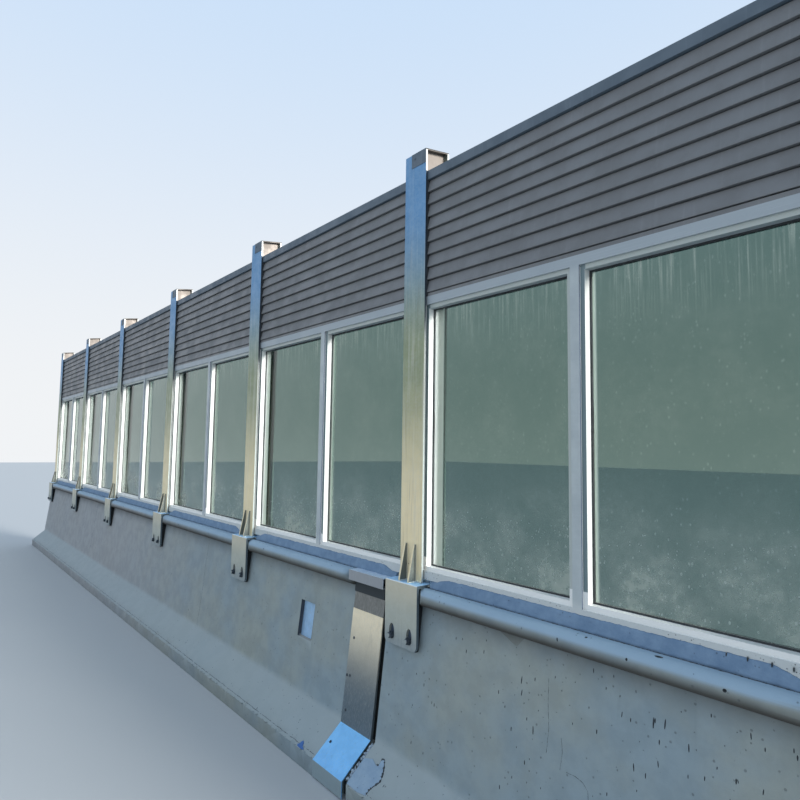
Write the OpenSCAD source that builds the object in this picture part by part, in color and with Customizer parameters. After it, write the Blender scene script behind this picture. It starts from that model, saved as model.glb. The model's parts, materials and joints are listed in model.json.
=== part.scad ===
// Highway noise barrier, six bays on a concrete parapet.
// X runs along the barrier, -Y is the road side, +Z is up, all in millimetres.
// The origin is the bottom centre of the bounding box.

/* [Run] */
// Centre distance of two neighbouring posts
bay_pitch = 2000; // [1900:5:2100]
// Concrete past the centre line of each end post
run_past = 160; // [150:5:240]

/* [Parapet] */
// Height of the concrete above the ground
parapet_h = 1100; // [1000:5:1200]
// Upright kerb at the foot
kerb_h = 92; // [60:2:120]
// Rise of the sloped toe
toe_rise = 156; // [120:2:200]
// Run of the sloped toe
toe_run = 184; // [140:2:220]
// How far the upper face leans back
face_lean = 100; // [60:2:120]
// Post centre line to the front face at the top
top_front = 82; // [78:1:88]
// Post centre line to the upright back face
top_back = 100; // [90:1:110]
// Radius of the rounded nose moulding
nose_r = 45; // [38:1:48]
// Post centre line to the front of the nose
nose_reach = 148; // [140:1:152]
// Half the gap in the nose at each post
nose_gap = 116; // [112:1:150]

/* [Pocket in the face] */
// Centre of the pocket along the run
pocket_x = 3005; // [2900:5:3200]
// Bottom of the pocket above the ground
pocket_z = 580; // [500:5:600]
// Width of the pocket
pocket_w = 170; // [120:2:200]
// Height of the pocket
pocket_h = 230; // [180:2:260]
// Depth of the pocket
pocket_deep = 30; // [20:1:40]
// Thickness of the plate at the back of the pocket
pocket_plate_t = 5; // [3:1:8]

/* [Expansion joint] */
// Left end of the right hand concrete
joint_x = 3835; // [3825:1:3850]
// Open joint between the two lengths of concrete
joint_gap = 80; // [60:1:100]
// Width of the cover plates
cover_w = 285; // [260:1:320]
// Gap that the covers leave open
cover_short = 35; // [20:1:45]
// Thickness of the cover plates
cover_t = 6; // [4:1:8]
// Top edge of the face cover above the ground
cover_top = 878; // [840:1:920]
// Height of the kerb part of the toe cover
cover_kerb = 84; // [50:1:88]
// Sheet of the cap over the nose
cap_t = 4; // [3:1:5]
// Height of the cap front
cap_h = 58; // [45:1:70]
// Reach of the cap in front of the post centre line
cap_reach = 153; // [150:1:155]
// Right end of the cap past the left end of the right hand concrete
cap_over = 8; // [2:1:16]

/* [Saddle brackets] */
// Width of the bent plate along the run
saddle_w = 260; // [240:2:270]
// Thickness of the bent plate
saddle_t = 16; // [12:1:20]
// Post centre line to the outside of each leg
saddle_reach = 156; // [154:1:158]
// Height of each leg from the top of the plate
saddle_leg = 332; // [300:2:360]
// Outside radius of the bend
bend_r = 6; // [4:1:12]
// Radius of the lower corners
corner_r = 28; // [15:1:40]
// Centre distance of the two anchors of a leg
anchor_pitch = 142; // [120:1:160]
// Anchors above the lower edge of the leg
anchor_up = 46; // [36:1:60]
// Radius of an anchor rod
anchor_r = 10; // [8:0.5:12]
// Anchor end past the outside of the leg
anchor_out = 24; // [18:1:30]

/* [Posts] */
// Width of the flanges
post_w = 175; // [170:1:180]
// Depth over both flanges
post_d = 175; // [170:1:180]
// Thickness of the flanges
flange_t = 11; // [9:0.5:12]
// Thickness of the web
web_t = 7.5; // [6:0.5:10]
// Root radius between web and flange
root_r = 13; // [8:1:14]
// Front of the cap plate above the coping
post_head = 128; // [100:1:200]
// Thickness of the cap plate
post_cap_t = 8; // [5:1:12]
// How far the cap plate falls towards the road
post_cap_fall = 26; // [0:1:40]
// Post centre line to the outside of the plates that close the head
head_plate_x = 58; // [40:1:80]
// Thickness of the plates that close the head
head_plate_t = 4; // [3:1:8]
// Height of the foot gussets
gusset_h = 194; // [140:2:240]
// Base of the foot gussets
gusset_base = 50; // [40:1:50]
// Thickness of the foot gussets
gusset_t = 12; // [8:1:16]
// Centre distance of the two gussets on a flange
gusset_pitch = 73; // [60:1:100]
// Blunt tips of the gussets
gusset_tip = 12; // [6:1:20]

/* [Panels] */
// Post centre line to the end of a panel
panel_clear = 25; // [20:1:35]
// Front flange face to the front of the glazed frame
panel_set = 20; // [17:0.5:24]
// Depth of the glazed frame
panel_d = 95; // [80:1:110]
// Mortar bed under the glazed frame
bed_t = 35; // [25:1:50]
// Height of the mortar lip against the frame
bed_lip = 22; // [10:1:30]
// Gap between the mortar bed and a saddle
bed_gap = 8; // [4:1:20]
// Post centre line to the front foot of the mortar
bed_foot = 80; // [76:0.5:82]

/* [Glazed frame] */
// Height of the glazed frame
frame_h = 1515; // [1480:5:1560]
// Plain face of each frame member
frame_face = 45; // [40:1:52]
// Width of the glazing bead
bead_w = 21; // [14:1:26]
// Face of the bead behind the plain face
bead_set = 11; // [6:1:16]
// Frame face to the face of the glass
reveal = 50; // [40:1:56]
// Thickness of the glass
glass_t = 10; // [6:1:14]
// Glass held inside the frame on each edge
glass_bite = 10; // [6:1:12]
// Centre of the mullion right of the bay centre
mullion_in = 23; // [0:1:30]

/* [Sound panel] */
// Centre distance of two louvre blades
blade_pitch = 70.9; // [68:0.1:74]
// Blade front behind the front flange face
blade_set = 15; // [13:0.5:18]
// How far a blade leans in over its height
blade_lean = 14; // [8:1:24]
// Height of the slot over each blade
slot_h = 5; // [3:0.5:12]
// Depth of the slot behind the blade
slot_deep = 26; // [16:1:34]
// Upright lip along the lower edge of a blade
lip_h = 5; // [3:0.5:8]
// Plain band under the lowest blade
band_h = 21.9; // [15:0.1:28]
// Height of the coping
coping_h = 50; // [40:1:60]
// Coping front behind the front flange face
coping_set = 13; // [12:0.5:15]
// Depth of the coping
coping_d = 104; // [98:1:110]
// Wall of the coping
coping_t = 3; // [2:0.5:5]

/* [Hidden] */
$fn = 96;
blades = 9;
half_run = 3 * bay_pitch + run_past;
kerb_out = top_front + face_lean + toe_run;
back_out = saddle_reach + anchor_out;
post_y = (kerb_out + cover_t - back_out) / 2;
face_z = kerb_h + toe_rise;
face_tilt = atan(face_lean / (parapet_h - face_z));
saddle_z = parapet_h + saddle_t;
frame_z = parapet_h + bed_t;
louvre_z = frame_z + frame_h;
louvre_h = blades * blade_pitch + band_h;
coping_z = louvre_z + louvre_h;
post_h = coping_z + coping_h + post_head - saddle_z;
panel_l = bay_pitch - 2 * panel_clear;
front_y = -post_d / 2;
frame_y = front_y + panel_set;
frame_edge = frame_face + bead_w;
joint_left = joint_x - joint_gap;
cover_x = joint_x - cover_short - cover_w;
nose_y = nose_reach - nose_r;
galv = [0.62, 0.68, 0.72];
concrete = [0.56, 0.60, 0.62];

// Posts count from the left end of the run, bays from the left too.
function post_x(k) = (k - 4) * bay_pitch;
function bay_x(k) = (k - 3.5) * bay_pitch;
function face_y(z) = -top_front - face_lean * (parapet_h - z) / (parapet_h - face_z);

// Sweeps a profile drawn as y, z along the run from x0 to x1.
module along(x0, x1) {
    translate([x0, post_y, 0])
        rotate([90, 0, 90])
            linear_extrude(x1 - x0)
                children();
}

// Moves a child to the centre line of post k.
module at_post(k) {
    translate([post_x(k), post_y, 0])
        children();
}

module parapet_profile() {
    polygon([
        [-kerb_out, 0],
        [-kerb_out, kerb_h],
        [face_y(face_z), face_z],
        [-top_front, parapet_h],
        [top_back, parapet_h],
        [top_back, 0]
    ]);
}

// Cross section of the nose with its root in the wall.
module nose_profile(wall) {
    translate([nose_y, parapet_h - nose_r])
        circle(r = nose_r);
    translate([wall - 20, parapet_h - 2 * nose_r])
        square([nose_y - wall + 20, 2 * nose_r]);
}

// Plan of the nose; three cuts round an end, a flat end has none.
module nose_plan(x0, x1, flat_end) {
    step = nose_r / 2;
    rise = nose_r * (1 - sin(60));
    polygon(concat(
        [[x0, 0], [x0, nose_y]],
        [for (a = [30, 60]) [x0 + nose_r * (1 - cos(a)), nose_y + nose_r * sin(a)]],
        [[x0 + nose_r + step, nose_reach + rise]],
        flat_end
            ? [[x1 + 1, nose_reach + rise], [x1 + 1, 0]]
            : concat(
                [[x1 - nose_r - step, nose_reach + rise]],
                [for (a = [60, 30]) [x1 - nose_r * (1 - cos(a)), nose_y + nose_r * sin(a)]],
                [[x1, nose_y], [x1, 0]]
            )
    ));
}

// One length of the nose, -1 on the road side and 1 at the back.
module nose(x0, x1, side, flat_end) {
    intersection() {
        along(x0 - 1, flat_end ? x1 : x1 + 1)
            mirror([side < 0 ? 1 : 0, 0, 0])
                nose_profile(side < 0 ? top_front : top_back);
        translate([0, post_y, parapet_h - 2 * nose_r - 1])
            mirror([0, side < 0 ? 1 : 0, 0])
                linear_extrude(2 * nose_r + 2)
                    nose_plan(x0, x1, flat_end);
    }
}

module pocket_space(grow, deep) {
    z = pocket_z + pocket_h / 2;
    translate([pocket_x, post_y + face_y(z), z])
        rotate([-face_tilt, 0, 0])
            translate([-pocket_w / 2 + grow, -60, -pocket_h / 2 + grow])
                cube([pocket_w - 2 * grow, 60 + deep, pocket_h - 2 * grow]);
}

module parapet_left() {
    color(concrete)
    difference() {
        union() {
            along(-half_run, joint_left)
                parapet_profile();
            for (k = [1:4]) {
                nose(post_x(k) + nose_gap, post_x(k + 1) - nose_gap, -1, false);
                nose(post_x(k) + nose_gap, post_x(k + 1) - nose_gap, 1, false);
            }
            nose(post_x(5) + nose_gap, cover_x, -1, true);
            nose(post_x(5) + nose_gap, joint_left, 1, true);
        }
        pocket_space(0, pocket_deep);
    }
}

module parapet_right() {
    color(concrete)
    union() {
        along(joint_x, half_run)
            parapet_profile();
        nose(post_x(6) + nose_gap, post_x(7) - nose_gap, -1, false);
        nose(post_x(6) + nose_gap, post_x(7) - nose_gap, 1, false);
    }
}

// Mortar bed with a lip on each side of the glazed frame.
module bed_profile() {
    back = frame_y + panel_d;
    polygon([
        [-bed_foot, parapet_h],
        [frame_y - 5, frame_z + bed_lip],
        [frame_y, frame_z + bed_lip],
        [frame_y, frame_z],
        [back, frame_z],
        [back, frame_z + bed_lip],
        [back + 5, frame_z + bed_lip],
        [back + frame_y + bed_foot, parapet_h]
    ]);
}

module bedding() {
    color([0.45, 0.53, 0.66])
    for (k = [1:6])
        along(post_x(k) + saddle_w / 2 + bed_gap, post_x(k + 1) - saddle_w / 2 - bed_gap)
            bed_profile();
}

module pocket_plate() {
    color([0.60, 0.72, 0.86])
    difference() {
        pocket_space(3, pocket_deep);
        pocket_space(-1, pocket_deep - pocket_plate_t);
    }
}

// Folded cap where the nose is left out, and the strip down to the face cover.
module joint_cap() {
    color([0.66, 0.70, 0.74]) {
        along(cover_x, joint_x + cap_over) {
            translate([-cap_reach, parapet_h])
                square([cap_reach - bed_foot, cap_t]);
            translate([-cap_reach, parapet_h + cap_t - cap_h])
                square([cap_t, cap_h]);
            translate([-cap_reach, parapet_h + cap_t - cap_h])
                square([cap_reach - top_front - 14, cap_t]);
        }
        along(cover_x, joint_x - cover_short)
            polygon([
                [face_y(cover_top), cover_top],
                [face_y(cover_top) - cap_t, cover_top],
                [-top_front - cap_t, parapet_h],
                [-top_front, parapet_h]
            ]);
        along(cover_x, joint_x - cover_short)
            translate([-top_front - 16, parapet_h + cap_t - cap_h])
                square([8, cap_t]);
    }
}

module joint_face() {
    color([0.72, 0.72, 0.68])
    along(cover_x, joint_x - cover_short)
        polygon([
            [face_y(face_z), face_z],
            [face_y(face_z) - cover_t, face_z],
            [face_y(cover_top) - cover_t, cover_top],
            [face_y(cover_top), cover_top]
        ]);
}

module joint_toe() {
    color([0.62, 0.74, 0.86])
    along(cover_x, joint_x - cover_short)
        polygon([
            [face_y(face_z), face_z],
            [-kerb_out, kerb_h],
            [-kerb_out, kerb_h - cover_kerb],
            [-kerb_out - cover_t, kerb_h - cover_kerb],
            [-kerb_out - cover_t, kerb_h + cover_t * 0.4],
            [face_y(face_z) - cover_t, face_z]
        ]);
}

// Bent plate that rides on the parapet.
module saddle_shape() {
    leg_z = saddle_z - saddle_leg;
    difference() {
        union() {
            translate([-saddle_reach, leg_z])
                square([2 * saddle_reach, saddle_leg - bend_r]);
            translate([-saddle_reach + bend_r, leg_z])
                square([2 * saddle_reach - 2 * bend_r, saddle_leg]);
            translate([-saddle_reach + bend_r, saddle_z - bend_r])
                circle(r = bend_r);
            translate([saddle_reach - bend_r, saddle_z - bend_r])
                circle(r = bend_r);
        }
        translate([-saddle_reach + saddle_t, leg_z - 1])
            square([2 * saddle_reach - 2 * saddle_t, saddle_leg - saddle_t + 1]);
    }
}

// Rounds one lower corner of a leg.
module leg_corner(side) {
    leg_z = saddle_z - saddle_leg;
    translate([side * (saddle_w / 2 - corner_r), saddle_reach + 1, leg_z + corner_r])
        rotate([90, 0, 0])
            difference() {
                translate([side > 0 ? 0 : -corner_r - 1, -corner_r - 1, 0])
                    cube([corner_r + 1, corner_r + 1, 2 * saddle_reach + 2]);
                cylinder(r = corner_r, h = 2 * saddle_reach + 2);
            }
}

module anchors() {
    z = saddle_z - saddle_leg + anchor_up;
    y = face_y(z - anchor_r);
    for (s = [-1, 1]) {
        translate([s * anchor_pitch / 2, y, z])
            rotate([90, 0, 0])
                cylinder(r = anchor_r, h = saddle_reach + anchor_out + y);
        translate([s * anchor_pitch / 2, saddle_reach + anchor_out, z])
            rotate([90, 0, 0])
                cylinder(r = anchor_r, h = saddle_reach + anchor_out - top_back);
    }
}

module saddle(k) {
    color(galv)
    at_post(k) {
        difference() {
            translate([0, -post_y, 0])
                along(-saddle_w / 2, saddle_w / 2)
                    saddle_shape();
            leg_corner(-1);
            leg_corner(1);
        }
        anchors();
    }
}

// Cross section of the rolled post.
module post_section() {
    root_x = web_t / 2 + root_r;
    root_y = post_d / 2 - flange_t - root_r;
    difference() {
        union() {
            translate([-web_t / 2, -post_d / 2])
                square([web_t, post_d]);
            for (s = [-1, 1])
                translate([-post_w / 2, s * (post_d - flange_t) / 2 - flange_t / 2])
                    square([post_w, flange_t]);
            for (s = [-1, 1])
                translate([-root_x, s * (root_y + root_r / 2) - root_r / 2])
                    square([2 * root_x, root_r]);
        }
        for (a = [-1, 1], b = [-1, 1])
            translate([a * root_x, b * root_y])
                circle(r = root_r);
    }
}

module gusset(x, side) {
    translate([x - gusset_t / 2, side * post_d / 2, saddle_z])
        rotate([90, 0, 90])
            linear_extrude(gusset_t)
                polygon([
                    [0, 0],
                    [side * gusset_base, 0],
                    [side * gusset_base, gusset_tip],
                    [side * gusset_tip, gusset_h],
                    [0, gusset_h]
                ]);
}

// Underside of the cap plate at depth y; the shaft reaches half way into the plate.
function cap_z(y) =
    saddle_z + post_h - post_cap_t + post_cap_fall * (y + post_d / 2) / post_d;

// Sweeps a profile drawn as y, z across the post from x0 to x1.
module across(x0, x1) {
    translate([x0, 0, 0])
        rotate([90, 0, 90])
            linear_extrude(x1 - x0)
                children();
}

module post_shaft() {
    d = post_d / 2 + 1;
    in = post_cap_t / 2;
    difference() {
        translate([0, 0, saddle_z])
            linear_extrude(post_h + post_cap_fall)
                post_section();
        across(-post_w / 2 - 1, post_w / 2 + 1)
            polygon([
                [-d, cap_z(-d) + in],
                [d, cap_z(d) + in],
                [d, saddle_z + post_h + post_cap_fall + 1],
                [-d, saddle_z + post_h + post_cap_fall + 1]
            ]);
    }
}

module post_cap() {
    d = post_d / 2;
    across(-post_w / 2, post_w / 2)
        polygon([
            [-d, cap_z(-d)],
            [-d, cap_z(-d) + post_cap_t],
            [d, cap_z(d) + post_cap_t],
            [d, cap_z(d)]
        ]);
}

// Closes the channel between the coping and the cap plate.
module head_plate(side) {
    d = post_d / 2 - flange_t + 1;
    x = side > 0 ? head_plate_x - head_plate_t : -head_plate_x;
    in = post_cap_t / 2;
    across(x, x + head_plate_t)
        polygon([
            [-d, coping_z + coping_h + 2],
            [-d, cap_z(-d) + in],
            [d, cap_z(d) + in],
            [d, coping_z + coping_h + 2]
        ]);
}

module post(k) {
    color(galv)
    at_post(k) {
        post_shaft();
        post_cap();
        if (k > 1)
            head_plate(-1);
        if (k < 7)
            head_plate(1);
        for (s = [-1, 1], t = [-1, 1])
            gusset(t * gusset_pitch / 2, s);
    }
}

// Clear light of pane n, 0 for the left one, seen from the road.
function light_x0(n) = n == 0
    ? -panel_l / 2 + frame_edge
    : mullion_in + frame_face / 2 + bead_w;
function light_x1(n) = n == 0
    ? mullion_in - frame_face / 2 - bead_w
    : panel_l / 2 - frame_edge;

// A box as large as pane n plus a margin, from depth y0 to y1 of the frame.
module light(n, grow, y0, y1) {
    translate([light_x0(n) - grow, frame_y + y0, frame_z + frame_edge - grow])
        cube([
            light_x1(n) - light_x0(n) + 2 * grow,
            y1 - y0,
            frame_h - 2 * frame_edge + 2 * grow
        ]);
}

module glazed_frame(k) {
    color([0.66, 0.70, 0.74])
    translate([bay_x(k), post_y, 0])
        difference() {
            translate([-panel_l / 2, frame_y, frame_z])
                cube([panel_l, panel_d, frame_h]);
            for (n = [0, 1]) {
                light(n, 0, -1, panel_d + 1);
                light(n, glass_bite, reveal, reveal + glass_t);
                light(n, bead_w, -1, bead_set);
                light(n, bead_w, panel_d - bead_set, panel_d + 1);
            }
        }
}

module glass(k) {
    color([0.70, 0.85, 0.82, 0.4])
    translate([bay_x(k), post_y, 0])
        for (n = [0, 1])
            light(n, glass_bite, reveal, reveal + glass_t);
}

// One saw tooth per blade, drawn from the top down.
function blade_front(i) = let (z = coping_z - i * blade_pitch) [
    [front_y + blade_set + blade_lean, z - slot_h],
    [front_y + blade_set, z - blade_pitch + lip_h],
    [front_y + blade_set, z - blade_pitch],
    [front_y + blade_set + blade_lean + slot_deep, z - blade_pitch],
    [front_y + blade_set + blade_lean + slot_deep, z - blade_pitch - slot_h]
];

module louvre(k) {
    back = frame_y + panel_d;
    teeth = [for (i = [0:blades - 1], p = blade_front(i)) p];
    color([0.39, 0.40, 0.42])
    translate([bay_x(k), 0, 0])
        along(-panel_l / 2, panel_l / 2)
            polygon(concat(
                [
                    [back, coping_z],
                    [front_y + blade_set + blade_lean + slot_deep, coping_z],
                    [front_y + blade_set + blade_lean + slot_deep, coping_z - slot_h]
                ],
                teeth,
                [
                    [frame_y, louvre_z + band_h - slot_h],
                    [frame_y, louvre_z],
                    [back, louvre_z]
                ]
            ));
}

module coping(k) {
    color([0.34, 0.40, 0.46])
    translate([bay_x(k), 0, 0])
        along(-panel_l / 2, panel_l / 2)
            difference() {
                translate([front_y + coping_set, coping_z])
                    square([coping_d, coping_h]);
                translate([front_y + coping_set + coping_t, coping_z + coping_t])
                    square([coping_d - 2 * coping_t, coping_h - 2 * coping_t]);
            }
}

parapet_left();
parapet_right();
bedding();
pocket_plate();
joint_cap();
joint_face();
joint_toe();
saddle(1);  // saddle_1
saddle(2);  // saddle_2
saddle(3);  // saddle_3
saddle(4);  // saddle_4
saddle(5);  // saddle_5
saddle(6);  // saddle_6
saddle(7);  // saddle_7
post(1);  // post_1
post(2);  // post_2
post(3);  // post_3
post(4);  // post_4
post(5);  // post_5
post(6);  // post_6
post(7);  // post_7
glazed_frame(1);  // frame_1
glazed_frame(2);  // frame_2
glazed_frame(3);  // frame_3
glazed_frame(4);  // frame_4
glazed_frame(5);  // frame_5
glazed_frame(6);  // frame_6
glass(1);  // glass_1
glass(2);  // glass_2
glass(3);  // glass_3
glass(4);  // glass_4
glass(5);  // glass_5
glass(6);  // glass_6
louvre(1);  // louvre_1
louvre(2);  // louvre_2
louvre(3);  // louvre_3
louvre(4);  // louvre_4
louvre(5);  // louvre_5
louvre(6);  // louvre_6
coping(1);  // coping_1
coping(2);  // coping_2
coping(3);  // coping_3
coping(4);  // coping_4
coping(5);  // coping_5
coping(6);  // coping_6
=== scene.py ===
"""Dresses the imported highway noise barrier: finishes, fittings and a plain studio.

Everything is in metres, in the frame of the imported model: X runs along the barrier,
the road side looks along -Y, and the ground is at Z = 0.
"""

import json
import logging
import math
from collections.abc import Iterable, Sequence
from dataclasses import dataclass
from enum import Enum
from typing import Any

import bmesh
import bpy
from mathutils import Matrix, Vector

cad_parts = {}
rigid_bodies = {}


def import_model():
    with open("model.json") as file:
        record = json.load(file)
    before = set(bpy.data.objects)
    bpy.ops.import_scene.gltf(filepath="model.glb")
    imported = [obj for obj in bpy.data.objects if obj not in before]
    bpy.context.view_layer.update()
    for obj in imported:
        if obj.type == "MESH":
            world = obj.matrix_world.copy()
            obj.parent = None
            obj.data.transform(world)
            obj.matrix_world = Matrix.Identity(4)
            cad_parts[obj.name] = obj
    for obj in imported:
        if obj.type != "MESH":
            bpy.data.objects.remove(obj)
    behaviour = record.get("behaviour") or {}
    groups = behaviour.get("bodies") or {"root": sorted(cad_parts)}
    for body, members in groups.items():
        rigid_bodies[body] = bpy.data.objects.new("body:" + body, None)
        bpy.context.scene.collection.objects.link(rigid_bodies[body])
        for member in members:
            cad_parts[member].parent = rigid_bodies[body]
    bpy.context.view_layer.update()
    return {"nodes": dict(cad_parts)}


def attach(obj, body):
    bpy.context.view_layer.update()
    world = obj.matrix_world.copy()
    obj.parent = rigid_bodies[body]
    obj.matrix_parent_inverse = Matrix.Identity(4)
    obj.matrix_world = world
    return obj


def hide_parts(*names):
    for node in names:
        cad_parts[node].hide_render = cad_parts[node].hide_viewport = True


LOG = logging.getLogger("barrier")

for leftover in list(bpy.data.objects):
    bpy.data.objects.remove(leftover)

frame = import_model()

Rgb = tuple[float, float, float]
Point = tuple[float, float, float]
Pair = tuple[float, float]
Socket = bpy.types.NodeSocket

BODY = "root"
BAYS = range(1, 7)
POSTS = range(1, 8)
ENDS = (-1, 1)


def srgb(red: int, green: int, blue: int) -> Rgb:
    """Turns a screen colour, each part from 0 to 255, into the linear one that shaders take."""
    parts = (c / 255 for c in (red, green, blue))
    return tuple(c / 12.92 if c < 0.04045 else ((c + 0.055) / 1.055) ** 2.4 for c in parts)


def span(node: str, axis: str) -> Pair:
    """Returns where a CAD node starts and ends along an axis, to a tenth of a millimetre."""
    places = [corner.co["XYZ".index(axis)] for corner in frame["nodes"][node].data.vertices]
    return round(min(places), 4), round(max(places), 4)


def middle(node: str, axis: str) -> float:
    """Returns the middle of a CAD node along an axis."""
    return round(sum(span(node, axis)) / 2, 4)


@dataclass(frozen=True)
class Sizes:
    """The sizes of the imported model: those read off its nodes, then those inside a node."""

    end: float = span("parapet_right", "X")[1]
    parapet_top: float = span("parapet_right", "Z")[1]
    kerb_y: float = span("parapet_right", "Y")[0]
    joint_x: Pair = (span("parapet_left", "X")[1], span("parapet_right", "X")[0])
    cover_x: Pair = span("joint_face", "X")
    toe_y: float = span("joint_toe", "Y")[1]
    toe_z: float = span("joint_toe", "Z")[1]
    bay: float = middle("post_5", "X") - middle("post_4", "X")
    post_y: float = middle("post_4", "Y")
    post_half: float = span("post_4", "X")[1]
    saddle_half: float = span("saddle_4", "X")[1]
    saddle_top: float = span("saddle_4", "Z")[1]
    frame_front: float = span("frame_4", "Y")[0]
    frame_z: Pair = span("frame_4", "Z")
    louvre_top: float = span("louvre_4", "Z")[1]
    glass_y: Pair = span("glass_4", "Y")
    glass_z: Pair = span("glass_4", "Z")

    glass_bite: float = 0.010
    kerb_z: float = 0.092
    lean_y: float = 0.014
    wall_back: float = 0.196
    nose_y: float = -0.052
    nose_z: float = 1.055
    nose_round: float = 0.045
    flange: float = 0.011
    flange_top: float = 3.488
    saddle_y: Pair = (-0.060, 0.252)
    saddle_thick: float = 0.016
    anchor_z: float = 0.830
    anchor_side: float = 0.071
    gusset_side: float = 0.0365
    gusset_half: float = 0.006
    gusset_reach: float = 0.050
    gusset_rise: float = 0.194

    def post_x(self, number: int) -> float:
        """Returns the middle of a post, numbered 1 to 7 from the left."""
        return (number - 4) * self.bay

    def bay_x(self, number: int) -> float:
        """Returns the middle of a bay, numbered 1 to 6 from the left."""
        return (number - 3.5) * self.bay

    def bed_x(self, number: int, inset: float) -> Pair:
        """Returns both ends of the clear top of a bay, each pulled in by an inset."""
        reach = self.saddle_half + inset
        return self.post_x(number) + reach, self.post_x(number + 1) - reach

    def face_y(self, z: float) -> float:
        """Returns the depth of the leaning face of the concrete at a height."""
        slope = (self.lean_y - self.toe_y) / (self.parapet_top - self.toe_z)
        return self.lean_y - slope * (self.parapet_top - z)

    def toe_at(self, share: float) -> Pair:
        """Returns depth and height on the toe, from 0 at the kerb to 1 at the face."""
        y = self.kerb_y + share * (self.toe_y - self.kerb_y)
        return y, self.kerb_z + share * (self.toe_z - self.kerb_z)


SIZES = Sizes()


class Pane(Enum):
    """The two clear lights of a glazed bay, as left and right edges from its middle."""

    LEFT = (-0.909, -0.0205)
    RIGHT = (0.0665, 0.909)


class Side(Enum):
    """The two long sides of the barrier, as the direction of their outward normal."""

    ROAD = -1.0
    BACK = 1.0


class Effect(Enum):
    """The surface effects that finishes share, by the name of their node group."""

    MOTTLE = "mottled tone"
    STREAKS = "drawn-out streaks"
    SPECKS = "scattered specks"
    RISE = "change with height"


# Node trees


class Graph:
    """Adds nodes to a tree and wires them, so that a tree reads as a list of steps."""

    def __init__(self, tree: bpy.types.NodeTree) -> None:
        """Keeps the tree that the steps go into."""
        self.tree = tree

    def add(self, kind: str, *feeds: Any, **settings: Any) -> "Flow | None":
        """Adds one node.

        Args:
            kind: Blender's name for the type of node.
            feeds: a flow, number, colour or material for each live input in turn,
                None to leave one alone, or a list of flows for a joining input.
            settings: the node's own properties.

        Returns:
            The node's first live output, or None where it has none.
        """
        node = self.tree.nodes.new(kind)
        for name, value in settings.items():
            setattr(node, name, value)
        for socket, value in zip([s for s in node.inputs if s.enabled], feeds):
            self.feed(socket, value)
        live = [s for s in node.outputs if s.enabled]
        return Flow(self, live[0]) if live else None

    def feed(self, socket: Socket, value: Any) -> None:
        """Links a flow to an input, or sets the input's own value.

        Args:
            socket: the input.
            value: a flow, a list of flows, a plain value, or None.
        """
        if isinstance(value, (Flow, list)):
            for item in value if isinstance(value, list) else [value]:
                self.tree.links.new(item.socket, socket)
        elif value is not None:
            wide = socket.type == "RGBA" and len(value) == 3
            socket.default_value = (*value, 1.0) if wide else value

    def mix(self, share: Any, first: Any, second: Any) -> "Flow":
        """Mixes two colours and returns the result, the first at 0 and the second at 1."""
        return self.add("ShaderNodeMix", share, first, second, data_type="RGBA")

    def noise(self, place: "Flow", scale: float, detail: float, rough: float) -> "Flow":
        """Adds a cloud pattern and returns its value."""
        return self.add("ShaderNodeTexNoise", place, scale, detail, rough)

    def xyz(self, x: Any, y: Any, z: Any) -> "Flow":
        """Returns a vector of three values."""
        return self.add("ShaderNodeCombineXYZ", x, y, z)


class Flow:
    """One value in a node tree, on which sums are written as in plain Python."""

    def __init__(self, graph: Graph, socket: Socket) -> None:
        """Keeps the socket that gives the value and the graph that takes the sums."""
        self.graph = graph
        self.socket = socket

    def out(self, name: str) -> "Flow":
        """Returns another output of the same node."""
        return Flow(self.graph, self.socket.node.outputs[name])

    def axis(self, name: str) -> "Flow":
        """Returns one part of a vector."""
        return self.graph.add("ShaderNodeSeparateXYZ", self).out(name)

    def sum(self, operation: str, *others: Any) -> "Flow":
        """Adds one sum that begins with this value, on vectors where it is one."""
        kind = "ShaderNodeVectorMath" if self.socket.type in ("VECTOR", "RGBA") else "ShaderNodeMath"
        return self.graph.add(kind, self, *others, operation=operation)

    def __add__(self, other: Any) -> "Flow":
        """Returns both added."""
        return self.sum("ADD", other)

    def __sub__(self, other: Any) -> "Flow":
        """Returns this one less the other."""
        return self.sum("SUBTRACT", other)

    def __rsub__(self, other: float) -> "Flow":
        """Returns a number less this one."""
        return self.graph.add("ShaderNodeMath", other, self, operation="SUBTRACT")

    def __mul__(self, other: Any) -> "Flow":
        """Returns both multiplied."""
        return self.sum("MULTIPLY", other)

    def __truediv__(self, other: Any) -> "Flow":
        """Returns this one divided by the other."""
        return self.sum("DIVIDE", other)

    def __gt__(self, other: Any) -> "Flow":
        """Returns 1 where this one is the larger, and 0 elsewhere."""
        return self.sum("GREATER_THAN", other)

    def __lt__(self, other: Any) -> "Flow":
        """Returns 1 where this one is the smaller, and 0 elsewhere."""
        return self.sum("LESS_THAN", other)

    def __abs__(self) -> "Flow":
        """Returns this one without its sign."""
        return self.sum("ABSOLUTE")

    def larger(self, other: Any) -> "Flow":
        """Returns the larger of both."""
        return self.sum("MAXIMUM", other)

    def wrapped(self) -> "Flow":
        """Returns a place along X as the distance from the nearest middle of a period of 2 m."""
        return self.sum("WRAP", 1.0, -1.0)

    def ramp(self, start: Any, end: Any, low: float = 0.0, high: float = 1.0) -> "Flow":
        """Maps the range from start to end, either way round, smoothly on to low to high."""
        feeds = (self, start, end, low, high)
        return self.graph.add("ShaderNodeMapRange", *feeds, interpolation_type="SMOOTHSTEP")


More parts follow.
